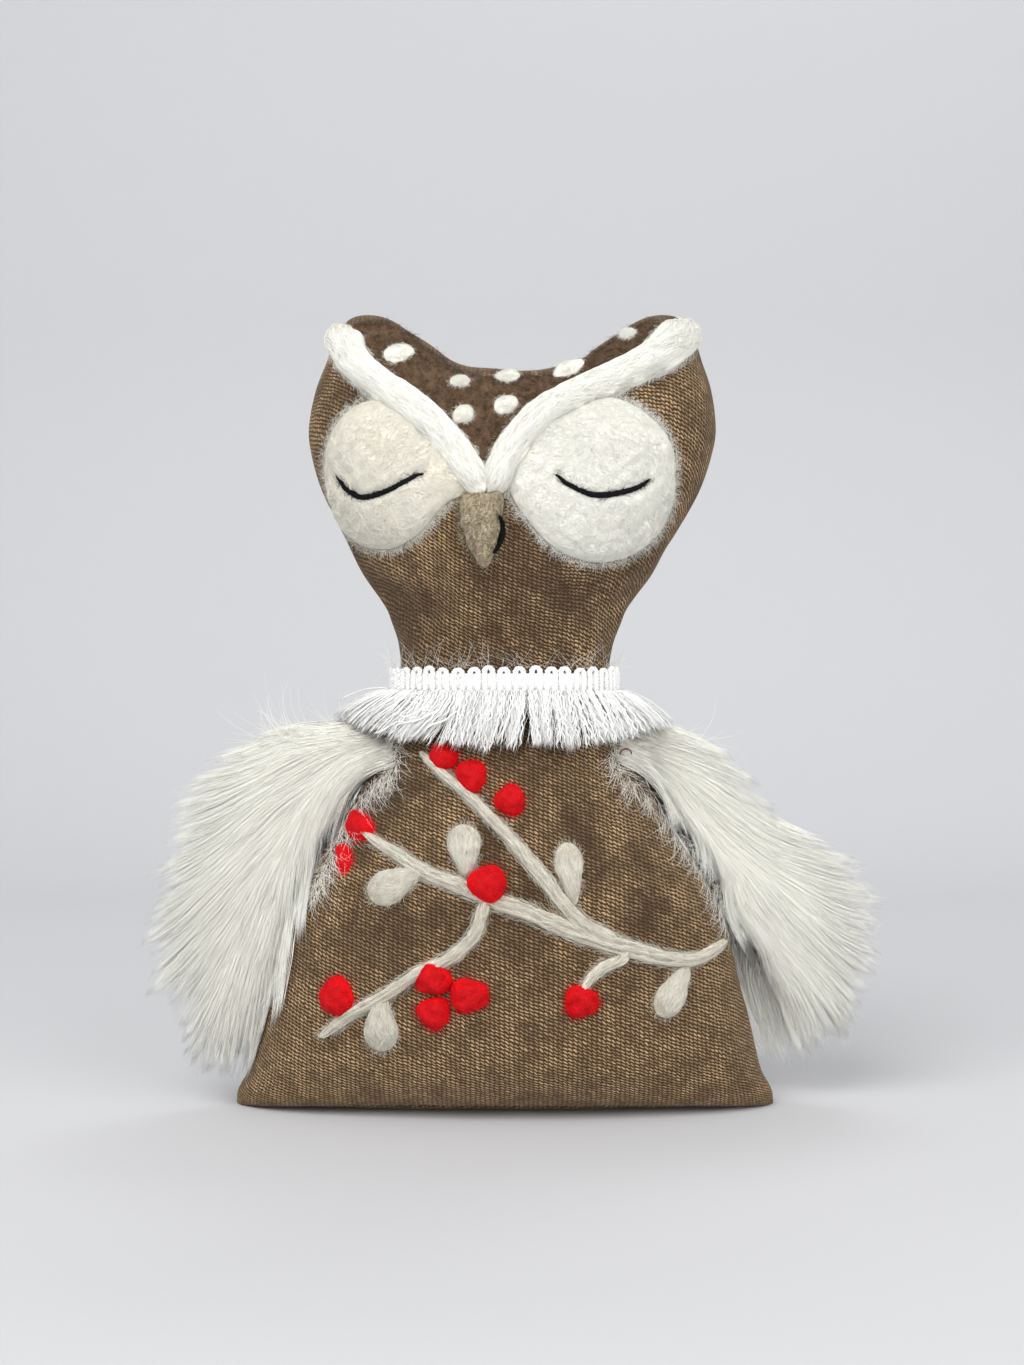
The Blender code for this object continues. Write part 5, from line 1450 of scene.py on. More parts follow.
def makeBand():
    pitch = collarGirth / collar["loops"]
    steps = 44
    leg = collar["bandHeight"] - collar["loopHalf"] - collar["cord"]
    bend = math.pi * collar["loopHalf"]
    travel = np.linspace(0, 1, steps) * (2 * leg + bend)
    turn = np.clip((travel - leg) / collar["loopHalf"], 0, math.pi)
    across = -np.cos(turn) * collar["loopHalf"]
    up = np.minimum(travel, leg) + np.sin(turn) * collar["loopHalf"]
    up -= np.maximum(travel - leg - bend, 0)
    draw = np.random.default_rng(211)
    paths = []
    for loop in range(collar["loops"]):
        tilt = draw.normal(0, 0.10)
        tall = draw.uniform(0.94, 1.05)
        for ply in (0, 1):
            wind = 2 * math.pi * (travel / collar["plyTwist"] + ply / 2)
            along = loop * pitch + across + up * tilt * 0.3 + np.cos(wind) * collar["ply"] * 0.45
            out = collar["loopOut"] + np.sin(wind) * collar["ply"] * 0.45
            paths.append(onCollar(along, out, collarLow + up * tall))
    band = growStrands("collarLoops", np.array(paths), np.full(steps, collar["ply"]),
                       draw.uniform(0, 1, len(paths)), 6)
    dress(band, "body", "white_trim", "rayon", ("collar_band",))

    places = np.linspace(0, collarGirth, 241)[:-1]
    inner, outer = collar["tapeFaces"]
    rows = []
    for out, share in ((inner, 0.0), (outer, 0.0), (outer, collar["tape"]), (inner, collar["tape"])):
        height = collarLow + collar["bandHeight"] * share
        rows.append(onCollar(places, np.full(len(places), out), height))
    index = np.pad(np.arange(len(places) * 4).reshape(-1, 4), ((0, 1), (0, 1)), "wrap")
    tape = buildMesh("collarTape", np.stack(rows, 1), quadsBetween(index))
    middle = np.tile([0.4, 0.4, 0.6, 0.6], len(tape.loops) // 4)
    addMap(tape, "strandMap", np.stack([np.full(len(tape.loops), 0.5), middle], -1))
    faceOutwards(tape)
    dress(show("collarTape", tape), "body", "white_trim", "rayon")


def makeFringe():
    draw = np.random.default_rng(212)
    count = collar["threads"]
    steps = 13
    share = np.linspace(0, 1, steps)
    start = (np.arange(count) + draw.uniform(-0.3, 0.3, count)) * collarGirth / count
    front = (start + collarGirth / 2) % collarGirth - collarGirth / 2
    # threads hang in tufts, whose ends draw together
    tuft = np.floor(front / collar["tuft"] + 0.5 * np.sin(front * 900))
    tuftDraw = np.random.default_rng(213).normal(0, 1, (400, 3))[tuft.astype(int) % 400]
    keep = np.abs(front - collar["parting"]) >= collar["partingHalf"]
    sweep = sweepTable(front) + tuftDraw[:, 0] * 0.12 + draw.normal(0, 0.12, count)
    atSide = np.abs(onCollar(start, 0.0 * start, 0.0)[:, 0]) / collar["halfWidth"]
    atSide = (np.clip(atSide, 0, 1) ** 5)[:, None]
    first, last = (a + (b - a) * atSide for a, b in zip(collar["frontTilt"], collar["sideTilt"]))
    lower = np.where(front[:, None] > 0, collar["rightDrop"], 1.0)
    first, last = first * lower, last * lower
    uneven = 1 + 0.07 * tuftDraw[:, 1:2] + draw.normal(0, 0.07, (count, 1))
    tilt = np.radians(between(first, last, share ** 0.7)) * uneven
    length = collar["threadLength"] * (1 + 0.03 * tuftDraw[:, 2] + draw.normal(0, 0.03, count))
    layer = draw.uniform(0, 1, count)
    middle = (tuft * collar["tuft"] - front) * 0.45
    aside = sweep[:, None] * np.minimum(share * 2, 1)
    stride = length[:, None] / (steps - 1)
    ways = (np.sin(aside), np.cos(aside) * np.sin(tilt), np.cos(aside) * np.cos(tilt))
    side, outward, drop = (runningSum(way * stride) for way in ways)
    phase = draw.uniform(0, 2 * math.pi, count)[:, None]
    ripple = np.sin(2 * math.pi * length[:, None] * share / collar["wavePitch"] + phase)
    ripple *= collar["wave"]
    along = start[:, None] + side + ripple + middle[:, None] * share ** 2
    out = 0.0009 + layer[:, None] * 0.0016 + outward + ripple * 0.4
    paths = onCollar(along, out, collarLow + 0.0006 - drop)
    width = collar["threadRadius"] * draw.uniform(0.75, 1.15, count)[:, None]
    width = width * np.interp(share, [0, 0.1, 0.8, 1], [0.9, 1, 1, 0.75])
    fringe = growStrands("collarFringe", paths[keep], width[keep], layer[keep], 5)
    dress(fringe, "body", "white_trim", "rayon", ("collar_fringe",))

    # fine filaments that fluff out between the threads and beyond their ends
    fine = collar["fluff"]
    pick = draw.integers(0, count, fine)
    shift = draw.normal(0, 0.0010, (fine, 1)) * share + draw.normal(0, 0.0004, (fine, 1))
    along = along[pick] + shift + draw.normal(0, 0.0006, (fine, 1)) * np.sin(share * 5)
    out = out[pick] + np.abs(draw.normal(0, 0.0011, (fine, 1))) * share
    stretch = draw.uniform(0.9, 1.12, (fine, 1))
    paths = onCollar(along, out, collarLow + 0.0006 - drop[pick] * stretch)[:, ::2]
    width = np.full(paths.shape[1], collar["fluffRadius"])
    fluff = growStrands("collarFluff", paths, width, draw.uniform(0, 1, fine))
    dress(fluff, "body", "white_trim", "rayon")


def makeYarns():
    # thicker loose yarns that lie across the left of the fringe
    draw = np.random.default_rng(215)
    share = np.linspace(0, 1, 18)
    paths = []
    for start, end, high, low in collar["yarns"]:
        wave = np.sin(share * draw.uniform(6, 10) + draw.uniform(0, 6)) * 0.0006
        along = start + (end - start) * share + draw.normal(0, 0.0002)
        drop = high + (low - high) * share ** 1.2 + wave
        out = collar["yarnOut"] + drop * collar["yarnSlope"] + wave * 0.5
        paths.append(onCollar(along, out, collarLow - drop))
    width = np.interp(share, [0, 0.1, 0.8, 1], collar["yarnRadii"])
    yarns = growStrands("collarYarns", np.array(paths), width, draw.uniform(0, 0.4, len(paths)), 6)
    dress(yarns, "body", "white_trim", "rayon")


def makeStrayHairs():
    # loose fur fibres caught round the collar's upper edge
    draw = np.random.default_rng(214)
    count = collar["strays"]
    steps = 8
    share = np.linspace(0, 1, steps)
    start = draw.uniform(0, collarGirth, count)[:, None]
    drift = draw.normal(0, 0.0050, (count, 1)) * share + draw.normal(0, 0.0030, (count, 1)) * share ** 2
    reach = draw.uniform(*collar["strayReach"], (count, 1))
    way = draw.uniform(0.2, 1.5, (count, 1)) + share * draw.normal(0, 0.8, (count, 1))
    rise = reach * np.sin(way) * share
    out = 0.0012 + np.abs(draw.normal(0, 0.0030, (count, 1))) * share ** 1.3
    paths = onCollar(start + drift, out, collar["height"] + collar["bandHeight"] * 0.42 + rise)
    width = np.linspace(*collar["strayRadii"], steps)
    hairs = growStrands("collarStrays", paths, width, draw.uniform(0, 1, count))
    dress(hairs, "body", "white_fur", "fur")


makeBand()
makeFringe()
makeYarns()
makeStrayHairs()
print("collar made")


# The wings: two fur cloths sewn back to back, with long pile combed out from the shoulder

wings = {  # metres from the hinge; floorBend: the height below which the floor turns the hairs
    "reach": 0.1085, "root": 0.0012, "pile": 0.0120, "edge": 0.0022, "backing": 0.0022, "inset": 0.0110,
    "area": ((-0.016, -0.116), (0.112, 0.036)), "ragged": 0.0030, "raggedSize": 0.006,
    "hairLength": 0.040, "lengths": (0.72, 1.12), "parts": 12, "steps": 7, "shortest": 2.5,
    "hairRadius": 0.000078, "coat": 5650, "stray": 0.06, "lowest": 0.42, "rootRise": 0.12,
    "innerStrip": 0.012, "rootPast": -0.005, "rootInside": 0.0060, "guideReach": 0.004,
    "tuftPull": (0.55, 0.95), "tuftInside": 0.16,
    "lockRadius": 0.00014, "lockSink": 0.0012, "taper": ([0, 0.15, 0.6, 1], [0.8, 1, 0.75, 0.12]),
    "tufts": 430, "tuftReach": 0.014, "backDroop": 9.0, "overCloth": 0.0040, "floorBend": 0.0035,
    "atSide": 0.0052, "closing": 0.55, "rimHairs": 9000, "rimHalf": 0.0036, "wispSteps": 9,
    "wispRadii": (0.00007, 0.00002), "wispLengths": (0.010, 0.024), "wispOut": (-0.002, 0.026),
    "wispUp": (0.008, 0.013), "edgeWisps": 620, "edgeLengths": (0.003, 0.0085),
    "wispHold": [(-0.010, 0.010), (0.002, -0.006)],
    "threadAt": (0.0385, 0.1139), "threadCurl": 0.0017,
    "pileTable": [(0.0, 0.45), (0.12, 0.70), (0.35, 1.0), (0.72, 0.92), (0.92, 0.60), (1.0, 0.35)],
    "left": {
        "out": -1, "locks": (4600, 3000), "coats": (3, 2), "wisps": 80, "wispWay": (4, 48),
        "innerEdge": [(-0.003, 0.016), (-0.0105, 0.012), (-0.0118, 0.006), (-0.009, 0.001), (-0.002, -0.004),
                      (0.003, -0.012), (0.008, -0.022), (0.014, -0.036)],
        "fan": [  # share of the reach, and the upper and lower edges in degrees from level
            (0.0, 150, -62), (0.06, 150, -64), (0.11, 136, -66), (0.15, 88, -67), (0.22, 38, -69),
            (0.30, 22, -70), (0.39, 12, -70), (0.47, 4, -70), (0.53, -2, -70), (0.58, -8, -70),
            (0.62, -17, -70), (0.67, -25, -70), (0.72, -31, -70), (0.80, -35, -70), (0.86, -42, -70),
            (0.92, -51, -69), (1.0, -59, -67),
        ],
        "combing": [  # outward and up from the hinge, and the way the pile points in degrees
            (-0.008, 0.010, -10), (-0.004, 0.004, -22), (0.001, -0.006, -46), (0.004, 0.016, -2),
            (0.018, 0.017, -2), (0.047, 0.007, -8), (0.066, -0.010, -10), (0.055, -0.014, -20),
            (0.069, -0.034, -20), (0.073, -0.051, -30), (0.074, -0.074, -40), (0.064, -0.083, -52),
            (0.051, -0.095, -73), (0.036, -0.085, -80), (0.026, -0.064, -86), (0.016, -0.039, -88),
            (0.010, -0.012, -66), (0.023, -0.001, -30), (0.039, -0.022, -44), (0.051, -0.047, -46),
            (0.035, -0.055, -70), (0.003, -0.011, -92), (0.008, -0.024, -98), (0.015, -0.052, -92),
        ],
    },
    "right": {
        "out": 1, "locks": (4400, 3000), "coats": (3, 2), "wisps": 26, "wispWay": (-12, 20),
        "innerEdge": [(-0.003, 0.016), (-0.0105, 0.012), (-0.0110, 0.006), (-0.007, 0.000), (0.000, -0.006),
                      (0.006, -0.013), (0.013, -0.022), (0.021, -0.034), (0.027, -0.048)],
        "fan": [
            (0.0, 150, -72), (0.06, 150, -72), (0.11, 132, -66), (0.15, 78, -64), (0.20, 34, -62),
            (0.27, 12, -61), (0.33, -1, -61), (0.38, -13, -61), (0.45, -18, -61), (0.56, -20, -60),
            (0.66, -21, -59), (0.74, -24, -59), (0.81, -29, -59), (0.87, -35, -59), (0.93, -42, -59),
            (1.0, -50, -59),
        ],
        "combing": [
            (-0.010, 0.006, -14), (-0.006, -0.002, -40), (0.002, -0.008, -50), (0.0095, 0.0085, -16),
            (0.024, 0.005, -18), (0.039, -0.005, -20), (0.024, -0.008, -36), (0.016, -0.013, -50),
            (0.031, -0.024, -36), (0.050, -0.024, -16), (0.070, -0.031, -6), (0.078, -0.047, -14),
            (0.080, -0.067, -33), (0.072, -0.090, -58), (0.057, -0.098, -72), (0.034, -0.050, -55),
            (0.034, -0.063, -84), (0.050, -0.060, -45), (0.022, -0.041, -92), (0.042, -0.080, -76),
            (0.006, -0.014, -96), (0.014, -0.028, -102),
        ],
    },
}
pileTable = smoothTable(wings["pileTable"])


class Wing:
    def __init__(self, word, droop=0.0):
        self.body, self.title = "wing_" + word, "wing" + word.capitalize()
        self.spec = wings[word]
        self.hinge = np.array(hinges["wing_%s_lift" % word])
        self.upper = smoothTable(self.spec["fan"], 1)
        self.lower = smoothTable(self.spec["fan"], 2)
        self.guides = np.array(self.spec["combing"])
        self.droop = droop       # how much further down the lower edge hangs, in degrees

    def reach(self, share):
        return between(wings["root"], wings["reach"], share)

    def beyondTorso(self, x, z):
        return np.abs(x) - torsoHalfWidth(np.clip(z, 0, cloth["neckHeight"]))

    def polar(self, out, up):
        reach = np.hypot(out, up)
        share = np.clip((reach - wings["root"]) / (wings["reach"] - wings["root"]), 0, 1.3)
        degrees = np.degrees(np.arctan2(up, out))
        high = self.upper(share)
        low = self.lower(share) - self.droop * np.clip(share * 6 - 0.9, 0, 1)
        middle, half = (high + low) / 2, (high - low) / 2
        return share, (degrees - middle) / half, np.radians(half) * reach

    def rimGap(self, out, up):
        # the distance inside the outline, below 0 outside it
        share, across, halfArc = self.polar(out, up)
        gap = np.minimum((1 - share) * wings["reach"], (1 - np.abs(across)) * halfArc)
        degrees = np.degrees(np.arctan2(up, out))
        for ahead in np.arange(0.012, 0.145, 0.012):
            further = share + ahead
            beyond = (degrees > self.upper(further)) | (degrees < self.lower(further) - self.droop)
            gap = np.where(beyond, np.minimum(gap, ahead * wings["reach"]), gap)
        return gap

    def fullness(self, out, up):
        # 1 in the middle of the pile and 0 at its outline
        share, across, _ = self.polar(out, up)
        rim = np.sqrt(np.maximum(1 - np.abs(across) ** 3, 0))
        return rim * pileTable(share) * np.clip((1 - share) * 12, 0, 1)

    def flow(self, out, up):
        # the pile's direction, from the nearest combing guides
        away = (out[..., None] - self.guides[:, 0]) ** 2 + (up[..., None] - self.guides[:, 1]) ** 2
        weight = 1 / (away + wings["guideReach"] ** 2) ** 1.5
        turn = np.radians(self.guides[:, 2])
        return np.arctan2((weight * np.sin(turn)).sum(-1), (weight * np.cos(turn)).sum(-1))

    def place(self, out, up, facing, height, layer=0.5):
        # height is the distance from the wing's middle plane; over the torso the pile lies on cloth
        x = self.hinge[0] + self.spec["out"] * out
        z = self.hinge[2] + up
        bend = wings["floorBend"]
        z = np.where(z < bend, bend * np.exp(np.minimum(z / bend - 1, 0)), z)
        over = -onCloth(x, z)[..., 1] + 0.0006 + wings["overCloth"] * layer
        limit = wings["atSide"] - wings["closing"] * np.maximum(self.beyondTorso(x, z), 0)
        limit = np.where(over > wings["atSide"], over, limit)
        y = facing * np.maximum(self.hinge[1] * facing + height, limit)
        return np.stack([x, y, z], -1)

    def spots(self, draw, count):
        # places spread evenly over the outline, which is ragged
        found = np.empty((0, 2))
        while len(found) < count:
            tries = draw.uniform(*wings["area"], (count * 4, 2))
            ragged = wings["ragged"] * (lumps(*tries.T, wings["raggedSize"], 221) - 0.1)
            found = np.concatenate([found, tries[self.rimGap(tries[:, 0], tries[:, 1]) > -ragged]])
        return found[:count]


def hairPaths(wing, draw, count, facing, pull=1.0, rim=False):
    # each hair is traced back from its tip, against the combing, to where it is rooted; rim: only
    # the hairs along the outline, between the two faces
    tips = wing.spots(draw, count)
    parts = wings["parts"]
    stride = wings["hairLength"] * draw.uniform(*wings["lengths"], count) / parts
    out, up = tips.T.copy()
    stray = draw.normal(0, wings["stray"], count)
    trail = [np.stack([out, up], -1)]
    going = np.ones(count, bool)
    used = np.zeros(count)
    rootAt = draw.uniform(wings["rootPast"], wings["rootInside"], count)
    for _ in range(parts):
        turn = wing.flow(out, up) + stray
        stray = stray * 0.8
        nextOut, nextUp = out - np.cos(turn) * stride, up - np.sin(turn) * stride
        gap = np.where(nextOut < wings["innerStrip"], rootAt, wings["rootPast"])
        going = going & (wing.rimGap(nextOut, nextUp) > gap)
        out, up = np.where(going, nextOut, out), np.where(going, nextUp, up)
        used += going
        trail.append(np.stack([out, up], -1))
    trail = np.array(trail)
    steps = wings["steps"]
    share = np.linspace(0, 1, steps)
    level = used[:, None] * (1 - share)
    index = np.minimum(level.astype(int), parts - 1)
    part = (level - index)[..., None]
    rows = np.arange(count)[:, None]
    flat = trail[index, rows] * (1 - part) + trail[index + 1, rows] * part
    long = used > wings["shortest"]
    flat, tips, layer = flat[long], tips[long], draw.uniform(0, 1, count)[long] ** 0.75
    # near the outline the tips draw together in tufts
    heads = tips[draw.choice(len(tips), min(wings["tufts"], len(tips)), replace=False)]
    tuft = np.argmin(((tips[:, None] - heads[None]) ** 2).sum(2), 1)
    members = np.bincount(tuft, minlength=len(heads))
    sums = np.stack([np.bincount(tuft, flat[:, i, j], len(heads))
                     for i in range(steps) for j in (0, 1)], -1)
    middle = (sums / np.maximum(members, 1)[:, None]).reshape(len(heads), steps, 2)
    atRim = np.clip(1 - wing.rimGap(tips[:, 0], tips[:, 1]) / wings["tuftReach"], 0, 1)
    drawn = pull * draw.uniform(*wings["tuftPull"], len(flat)) * between(wings["tuftInside"], 1, atRim)
    drawn = drawn[:, None, None] * (share ** 2)[None, :, None]
    flat = flat * (1 - drawn) + middle[tuft] * drawn
    longer = 1 + draw.normal(0.02, 0.05, len(heads))[tuft] * atRim
    flat = flat[:, :1] + (flat - flat[:, :1]) * longer[:, None, None]
    fullness = wing.fullness(flat[:, :, 0], flat[:, :, 1])
    rise = np.minimum(share / wings["rootRise"], 1) ** 0.6
    height = (wings["pile"] - wings["edge"]) * fullness * between(wings["lowest"], 1, layer[:, None])
    height = (wings["edge"] * 0.4 + height) * rise + wings["backing"] / 2
    height = height + draw.normal(0, 0.0008, (len(flat), 1)) * share ** 2
    if rim:
        height = wings["rimHalf"] * draw.uniform(-1, 1, (len(flat), 1)) * (1 - 0.5 * share)
        x, z = wing.hinge[0] + wing.spec["out"] * flat[:, :, 0], wing.hinge[2] + flat[:, :, 1]
        at = (wing.beyondTorso(x, z) > 0).all(1) & (atRim > 0.1)
        flat, height, layer, tuft = flat[at], height[at], layer[at], tuft[at]
    paths = wing.place(flat[:, :, 0], flat[:, :, 1], facing, height, layer[:, None] * rise)
    return paths, layer, tuft


def makeFur(wing, face, facing, seed):
    draw = np.random.default_rng(seed)
    title = wing.title + face
    number = 0 if facing < 0 else 1
    taper = np.interp(np.linspace(0, 1, wings["steps"]), *wings["taper"])

    paths, _, _ = hairPaths(wing, draw, wing.spec["locks"][number], facing, 0.5)
    paths[:, :, 1] -= facing * wings["lockSink"]
    width = wings["lockRadius"] * draw.uniform(0.7, 1.3, (len(paths), 1)) * taper
    outward = (0.0, facing, 0.25)
    locks = growStrands(title + "Locks", paths, width, draw.uniform(0, 1, len(paths)), 3, seed, outward)
    dress(locks, wing.body, "white_fur", "fur", ("%s_%s_fur" % (wing.body, face.lower()),))

    coats = wing.spec["coats"][number]
    paths, layer, tuft = hairPaths(wing, draw, wings["coat"] * coats, facing)
    width = wings["hairRadius"] * draw.uniform(0.7, 1.3, (len(paths), 1)) * taper
    shades = draw.normal(0.35, 0.22, wings["tufts"])[tuft] + draw.normal(0, 0.15, len(paths))
    shades = np.clip(shades, 0, 1)
    for coat, part in enumerate(np.array_split(np.argsort(layer), coats), 1):
        name = "%sCoat%d" % (title, coat)
        fur = growStrands(name, paths[part], width[part], shades[part], 3, seed, outward)
        dress(fur, wing.body, "white_fur", "fur")


def makeRimFur(wing, seed):
    # the pile of both faces meets along the wing's outline
    draw = np.random.default_rng(seed)
    taper = np.interp(np.linspace(0, 1, wings["steps"]), *wings["taper"])
    paths, layer, _ = hairPaths(wing, draw, wings["rimHairs"], -1, 0.8, True)
    width = wings["hairRadius"] * 1.4 * draw.uniform(0.7, 1.3, (len(paths), 1)) * taper
    dress(growStrands(wing.title + "Rim", paths, width, layer, 3, seed), wing.body, "white_fur", "fur")


def makeWisps(wing, seed):
    # loose long hairs that stand off the top of the shoulder
    draw = np.random.default_rng(seed)
    count = wing.spec["wisps"]
    steps = wings["wispSteps"]
    share = np.linspace(0, 1, steps)
    turn = np.radians(draw.uniform(*wing.spec["wispWay"], count))[:, None]
    turn = turn + draw.normal(0, 0.9, (count, 1)) * share
    stride = draw.uniform(*wings["wispLengths"], (count, 1)) / (steps - 1)
    out = draw.uniform(*wings["wispOut"], (count, 1)) + np.cumsum(np.cos(turn) * stride, 1)
    up = draw.uniform(*wings["wispUp"], (count, 1)) + np.cumsum(np.sin(turn) * stride, 1)
    height = 0.002 + draw.uniform(0, 0.008, (count, 1)) + draw.normal(0, 0.004, (count, 1)) * share
    paths = wing.place(out, up, -1, height)
    width = np.linspace(*wings["wispRadii"], steps)
    wisps = growStrands(wing.title + "Wisps", paths, width, draw.uniform(0, 1, count))
    dress(wisps, wing.body, "white_fur", "fur")

    # shorter ones stray over the inner edge, where the fur meets the torso
    count = wings["edgeWisps"]
    edge = smoothPath(wing.spec["innerEdge"], 0.0005)
    start = edge[draw.integers(0, len(edge), count)] + draw.normal(0, 0.0012, (count, 2))
    turn = np.radians(draw.normal(-85, 42, (count, 1))) + draw.normal(0, 0.8, (count, 1)) * share
    stride = draw.uniform(*wings["edgeLengths"], (count, 1)) / (steps - 1)
    out = start[:, :1] + np.cumsum(np.cos(turn) * stride, 1)
    up = start[:, 1:] + np.cumsum(np.sin(turn) * stride, 1)
    paths = wing.place(out, up, -1, 0.003, draw.uniform(0, 0.9, (count, 1)))
    fringe = growStrands(wing.title + "EdgeWisps", paths, width * 0.8, draw.uniform(0, 1, count))
    fringe.data.materials.append(finishes["fur"])
    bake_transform(fringe)


def wingSheet(wing, name, high, low, shares, thick, rough=0.0):
    # a closed sheet between two edges, in degrees, that bulges by a table of heights
    start = np.sqrt(np.clip(np.linspace(0, 5, len(shares)), 0, 1))[:, None] if thick else 1.0
    columns = np.sin(np.linspace(-1, 1, 31) * math.pi / 2)
    reach = wing.reach(shares)[:, None]
    angle = np.radians((high + low) / 2)[:, None] + np.radians((high - low) / 2)[:, None] * columns
    out, up = reach * np.cos(angle), reach * np.sin(angle)
    rim = np.sqrt(np.maximum(1 - columns ** 2, 0))
    rim = rim * np.sqrt(np.maximum(1 - np.linspace(0, 1, len(shares)) ** 4, 0))[:, None]
    height = wings["backing"] / 2 * start + thick * start * rim * pileTable(shares)[:, None]
    height = height + rough * lumps(out, up, 0.004, 231) * rim
    x, z = wing.hinge[0] + wing.spec["out"] * out, wing.hinge[2] + up
    outer, inner = (np.stack([x, wing.hinge[1] + side * height, z], -1) for side in (-1, 1))
    return closedSheet(name, outer, inner)


def highEdge(wing, shares, most, trim):
    # the wing's upper edge, lowered to stay inside the outline further out as well
    ahead = np.linspace(0, wings["inset"] / wings["reach"], 8)[:, None]
    return np.minimum(wing.upper(shares + ahead).min(0), most) - trim


def makeWingCore(wing):
    # the two fur cloths, back to back, a little inside the pile
    shares = np.linspace(0.0, 0.74, 36)
    trim = np.minimum(np.degrees(0.008 / wing.reach(shares)), 26)
    backing = wingSheet(wing, wing.title + "Cloth", highEdge(wing, shares, 40, trim),
                        wing.lower(shares) + 1.0, shares, 0.0)
    dress(backing, wing.body, "fur_cloth", "furCloth", (wing.body + "_backing",))
    # the dense pile near the cloth, that the long hairs lie on
    shares = np.linspace(0.07, 0.84, 46)
    trim = np.degrees(wings["inset"] * 0.6 / wing.reach(shares))
    trim = np.minimum(trim, 0.30 * (wing.upper(shares) - wing.lower(shares)))
    low = wing.lower(shares) + trim * (1.5 + shares)
    pile = wingSheet(wing, wing.title + "Pile", highEdge(wing, shares, 50, trim), low, shares,
                     wings["pile"] * 0.50, 0.0005)
    dress(pile, wing.body, "white_fur", "furPile")


def makeWings():
    for number, word in enumerate(("left", "right")):
        wing = Wing(word)
        makeWingCore(wing)
        makeFur(wing, "Front", -1, 240 + 10 * number)
        makeFur(Wing(word, wings["backDroop"]), "Back", 1, 245 + 10 * number)
        makeRimFur(wing, 243 + 10 * number)
        makeWisps(wing, 248 + 10 * number)
    # a loose red thread has caught on the right shoulder
    turn = np.radians(np.linspace(175, -10, 14))
    x = wings["threadAt"][0] + wings["threadCurl"] * 1.2 * np.cos(turn) - wing.hinge[0]
    z = wings["threadAt"][1] + wings["threadCurl"] * np.sin(turn) - wing.hinge[2]
    path = wing.place(x, z, -1, wings["pile"] * 0.98, 1.1)
    curl = growStrands("wingRightThread", path[None], np.full(14, 0.00022), [0.5], 6)
    dress(curl, "wing_right", "red_wool", "redThread")


makeWings()
print("wings made")


# What the camera never sees: base, filling and pellets

def makeBase():
    turn = np.linspace(0, 2 * math.pi, 160, endpoint=False)
    rings = np.linspace(0.02, 1, 26)
    wide = cloth["baseHalfWidth"] - cloth["seamDraw"]
    deep = cloth["baseHalfDepth"] - 0.0004
    x = rings[:, None] * wide * rounded(np.cos(turn))
    y = rings[:, None] * deep * rounded(np.sin(turn))
    rise = archAt(x, 0.0 * x) * rings[:, None] ** 9 + 0.0002
    sag = np.clip(lumps(x, y, 0.012, 301) * 0.0003, -0.0001, 0.0006)
    lower = np.stack([x, y, rise + np.abs(sag)], -1)
    upper = lower + np.array([0, 0, cloth["thickness"]])
    rows = np.concatenate([lower, upper[::-1]])
    mesh = ringMesh("baseCloth", rows)
    flat = np.concatenate([rows.reshape(-1, 3), rows[[0, -1]].mean(1)])[:, :2]
    addMap(mesh, "clothMap", flat[readAll(mesh.loops, "vertex_index")])
    base = dress(show("baseCloth", mesh), "body", "brown_velour", "velour", ("base_panel",))


filling = {
    "gap": 0.0008, "joint": 0.1488, "dome": 0.0101, "play": 0.0007, "floor": 0.0023, "foot": 14,
    "pouchHalfLength": 0.056, "pouchHalfDepth": 0.015, "pouchMiddle": 0.0083, "pouchHalfHeight": 0.0060,
    "pellet": 0.0032, "pelletHeight": 0.0004,
}


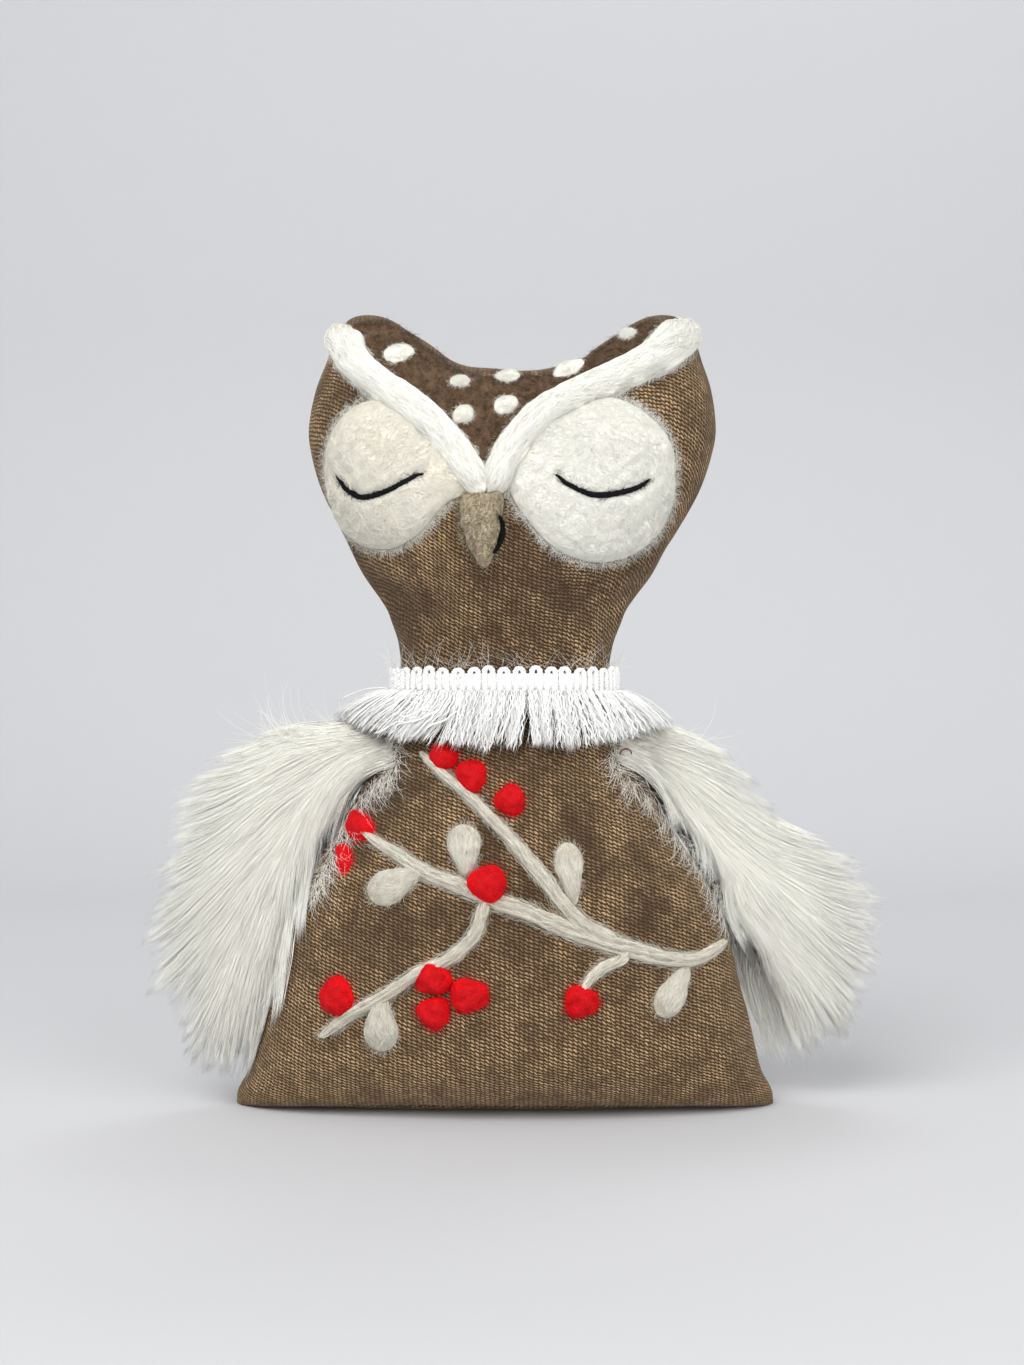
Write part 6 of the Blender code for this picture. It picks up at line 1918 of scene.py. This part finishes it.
def makeFilling():
    # fibre filling just inside the cloth: the head's part sits on the body's in a ball at the neck
    gap = filling["gap"]
    grids = []
    for side in (-1, 1):
        grid = linings[side].copy()
        half = np.abs(grid[:, :, 0]).max(1)[:, None]
        grid[:, :, 0] *= 1 - gap / half
        rise = np.clip((grid[:, :, 2] - cloth["neckHeight"]) / 0.1, 0, 1)
        grid[:, :, 1] = side * np.maximum(side * grid[:, :, 1] - gap, 0.0001)
        grid[:, :, 2] -= gap * rise ** 2
        grids.append(grid)
    split = np.searchsorted(grids[0][:, grids[0].shape[1] // 2, 2], filling["joint"])
    shares = np.sin(np.linspace(0.04, 1, 12)[:-1] * math.pi / 2)[:, None, None]
    parts = {"body": [], "head": []}
    share = np.linspace(0.04, 0.96, filling["foot"])[:, None]
    for grid in grids:
        foot = grid[:1] * share[:, :, None]
        oval = (foot[:, :, 0] / (filling["pouchHalfLength"] + gap)) ** 2
        oval = oval + (foot[:, :, 1] / (filling["pouchHalfDepth"] + gap)) ** 2
        hollow = (filling["pouchHalfHeight"] + gap) * np.sqrt(np.maximum(1 - oval, 0))
        hollow = filling["pouchMiddle"] + hollow
        level = filling["floor"] + (grid[0, :, 2] - filling["floor"]) * share ** 9
        foot[:, :, 2] = np.where(oval < 1, np.maximum(hollow, level), level)
        ends = (("body", split - 1, filling["dome"], grid[:split]),
                ("head", split, filling["dome"] + filling["play"], grid[split:]))
        for body, first, height, rows in ends:
            ball = grid[first] * np.array([1, 1, 0]) * shares
            ball[:, :, 2] = grid[first, :, 2] + height * np.sqrt(1 - shares[:, :, 0] ** 2)
            pieces = [foot, rows, ball[::-1]] if body == "body" else [ball, rows]
            parts[body].append(np.concatenate(pieces))
    for body, (front, back) in parts.items():
        piece = closedSheet(body + "Filling", front, back)
        piece.data.materials.append(finishes["fibrefill"])
        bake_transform(piece)
        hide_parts(body + "_stuffing")


def makePouch():
    # the little bag of pellets that weighs the base down
    turn = 2 * math.pi * np.arange(72) / 72
    share = np.sin(np.linspace(0.04, 1, 20) * math.pi / 2)[:, None]
    x = filling["pouchHalfLength"] * share * np.cos(turn)
    y = filling["pouchHalfDepth"] * share * np.sin(turn)
    swell = np.sqrt(np.maximum(1 - share ** 2, 0))
    bumps = filling["pelletHeight"] * lumps(x, y, filling["pellet"], 311) * swell
    high = filling["pouchHalfHeight"] * swell + bumps
    top = np.stack([x, y, filling["pouchMiddle"] + high], -1)
    under = np.stack([x, y, np.maximum(filling["pouchMiddle"] - high, filling["floor"])], -1)
    pouch = show("pelletBag", ringMesh("pelletBag", np.concatenate([top, under[-2::-1]])))
    dress(pouch, "body", "pellet_cloth", "pelletCloth", ("pellet_pouch",))


makeBase()
makeFilling()
makePouch()
print("base, filling and pellets made")
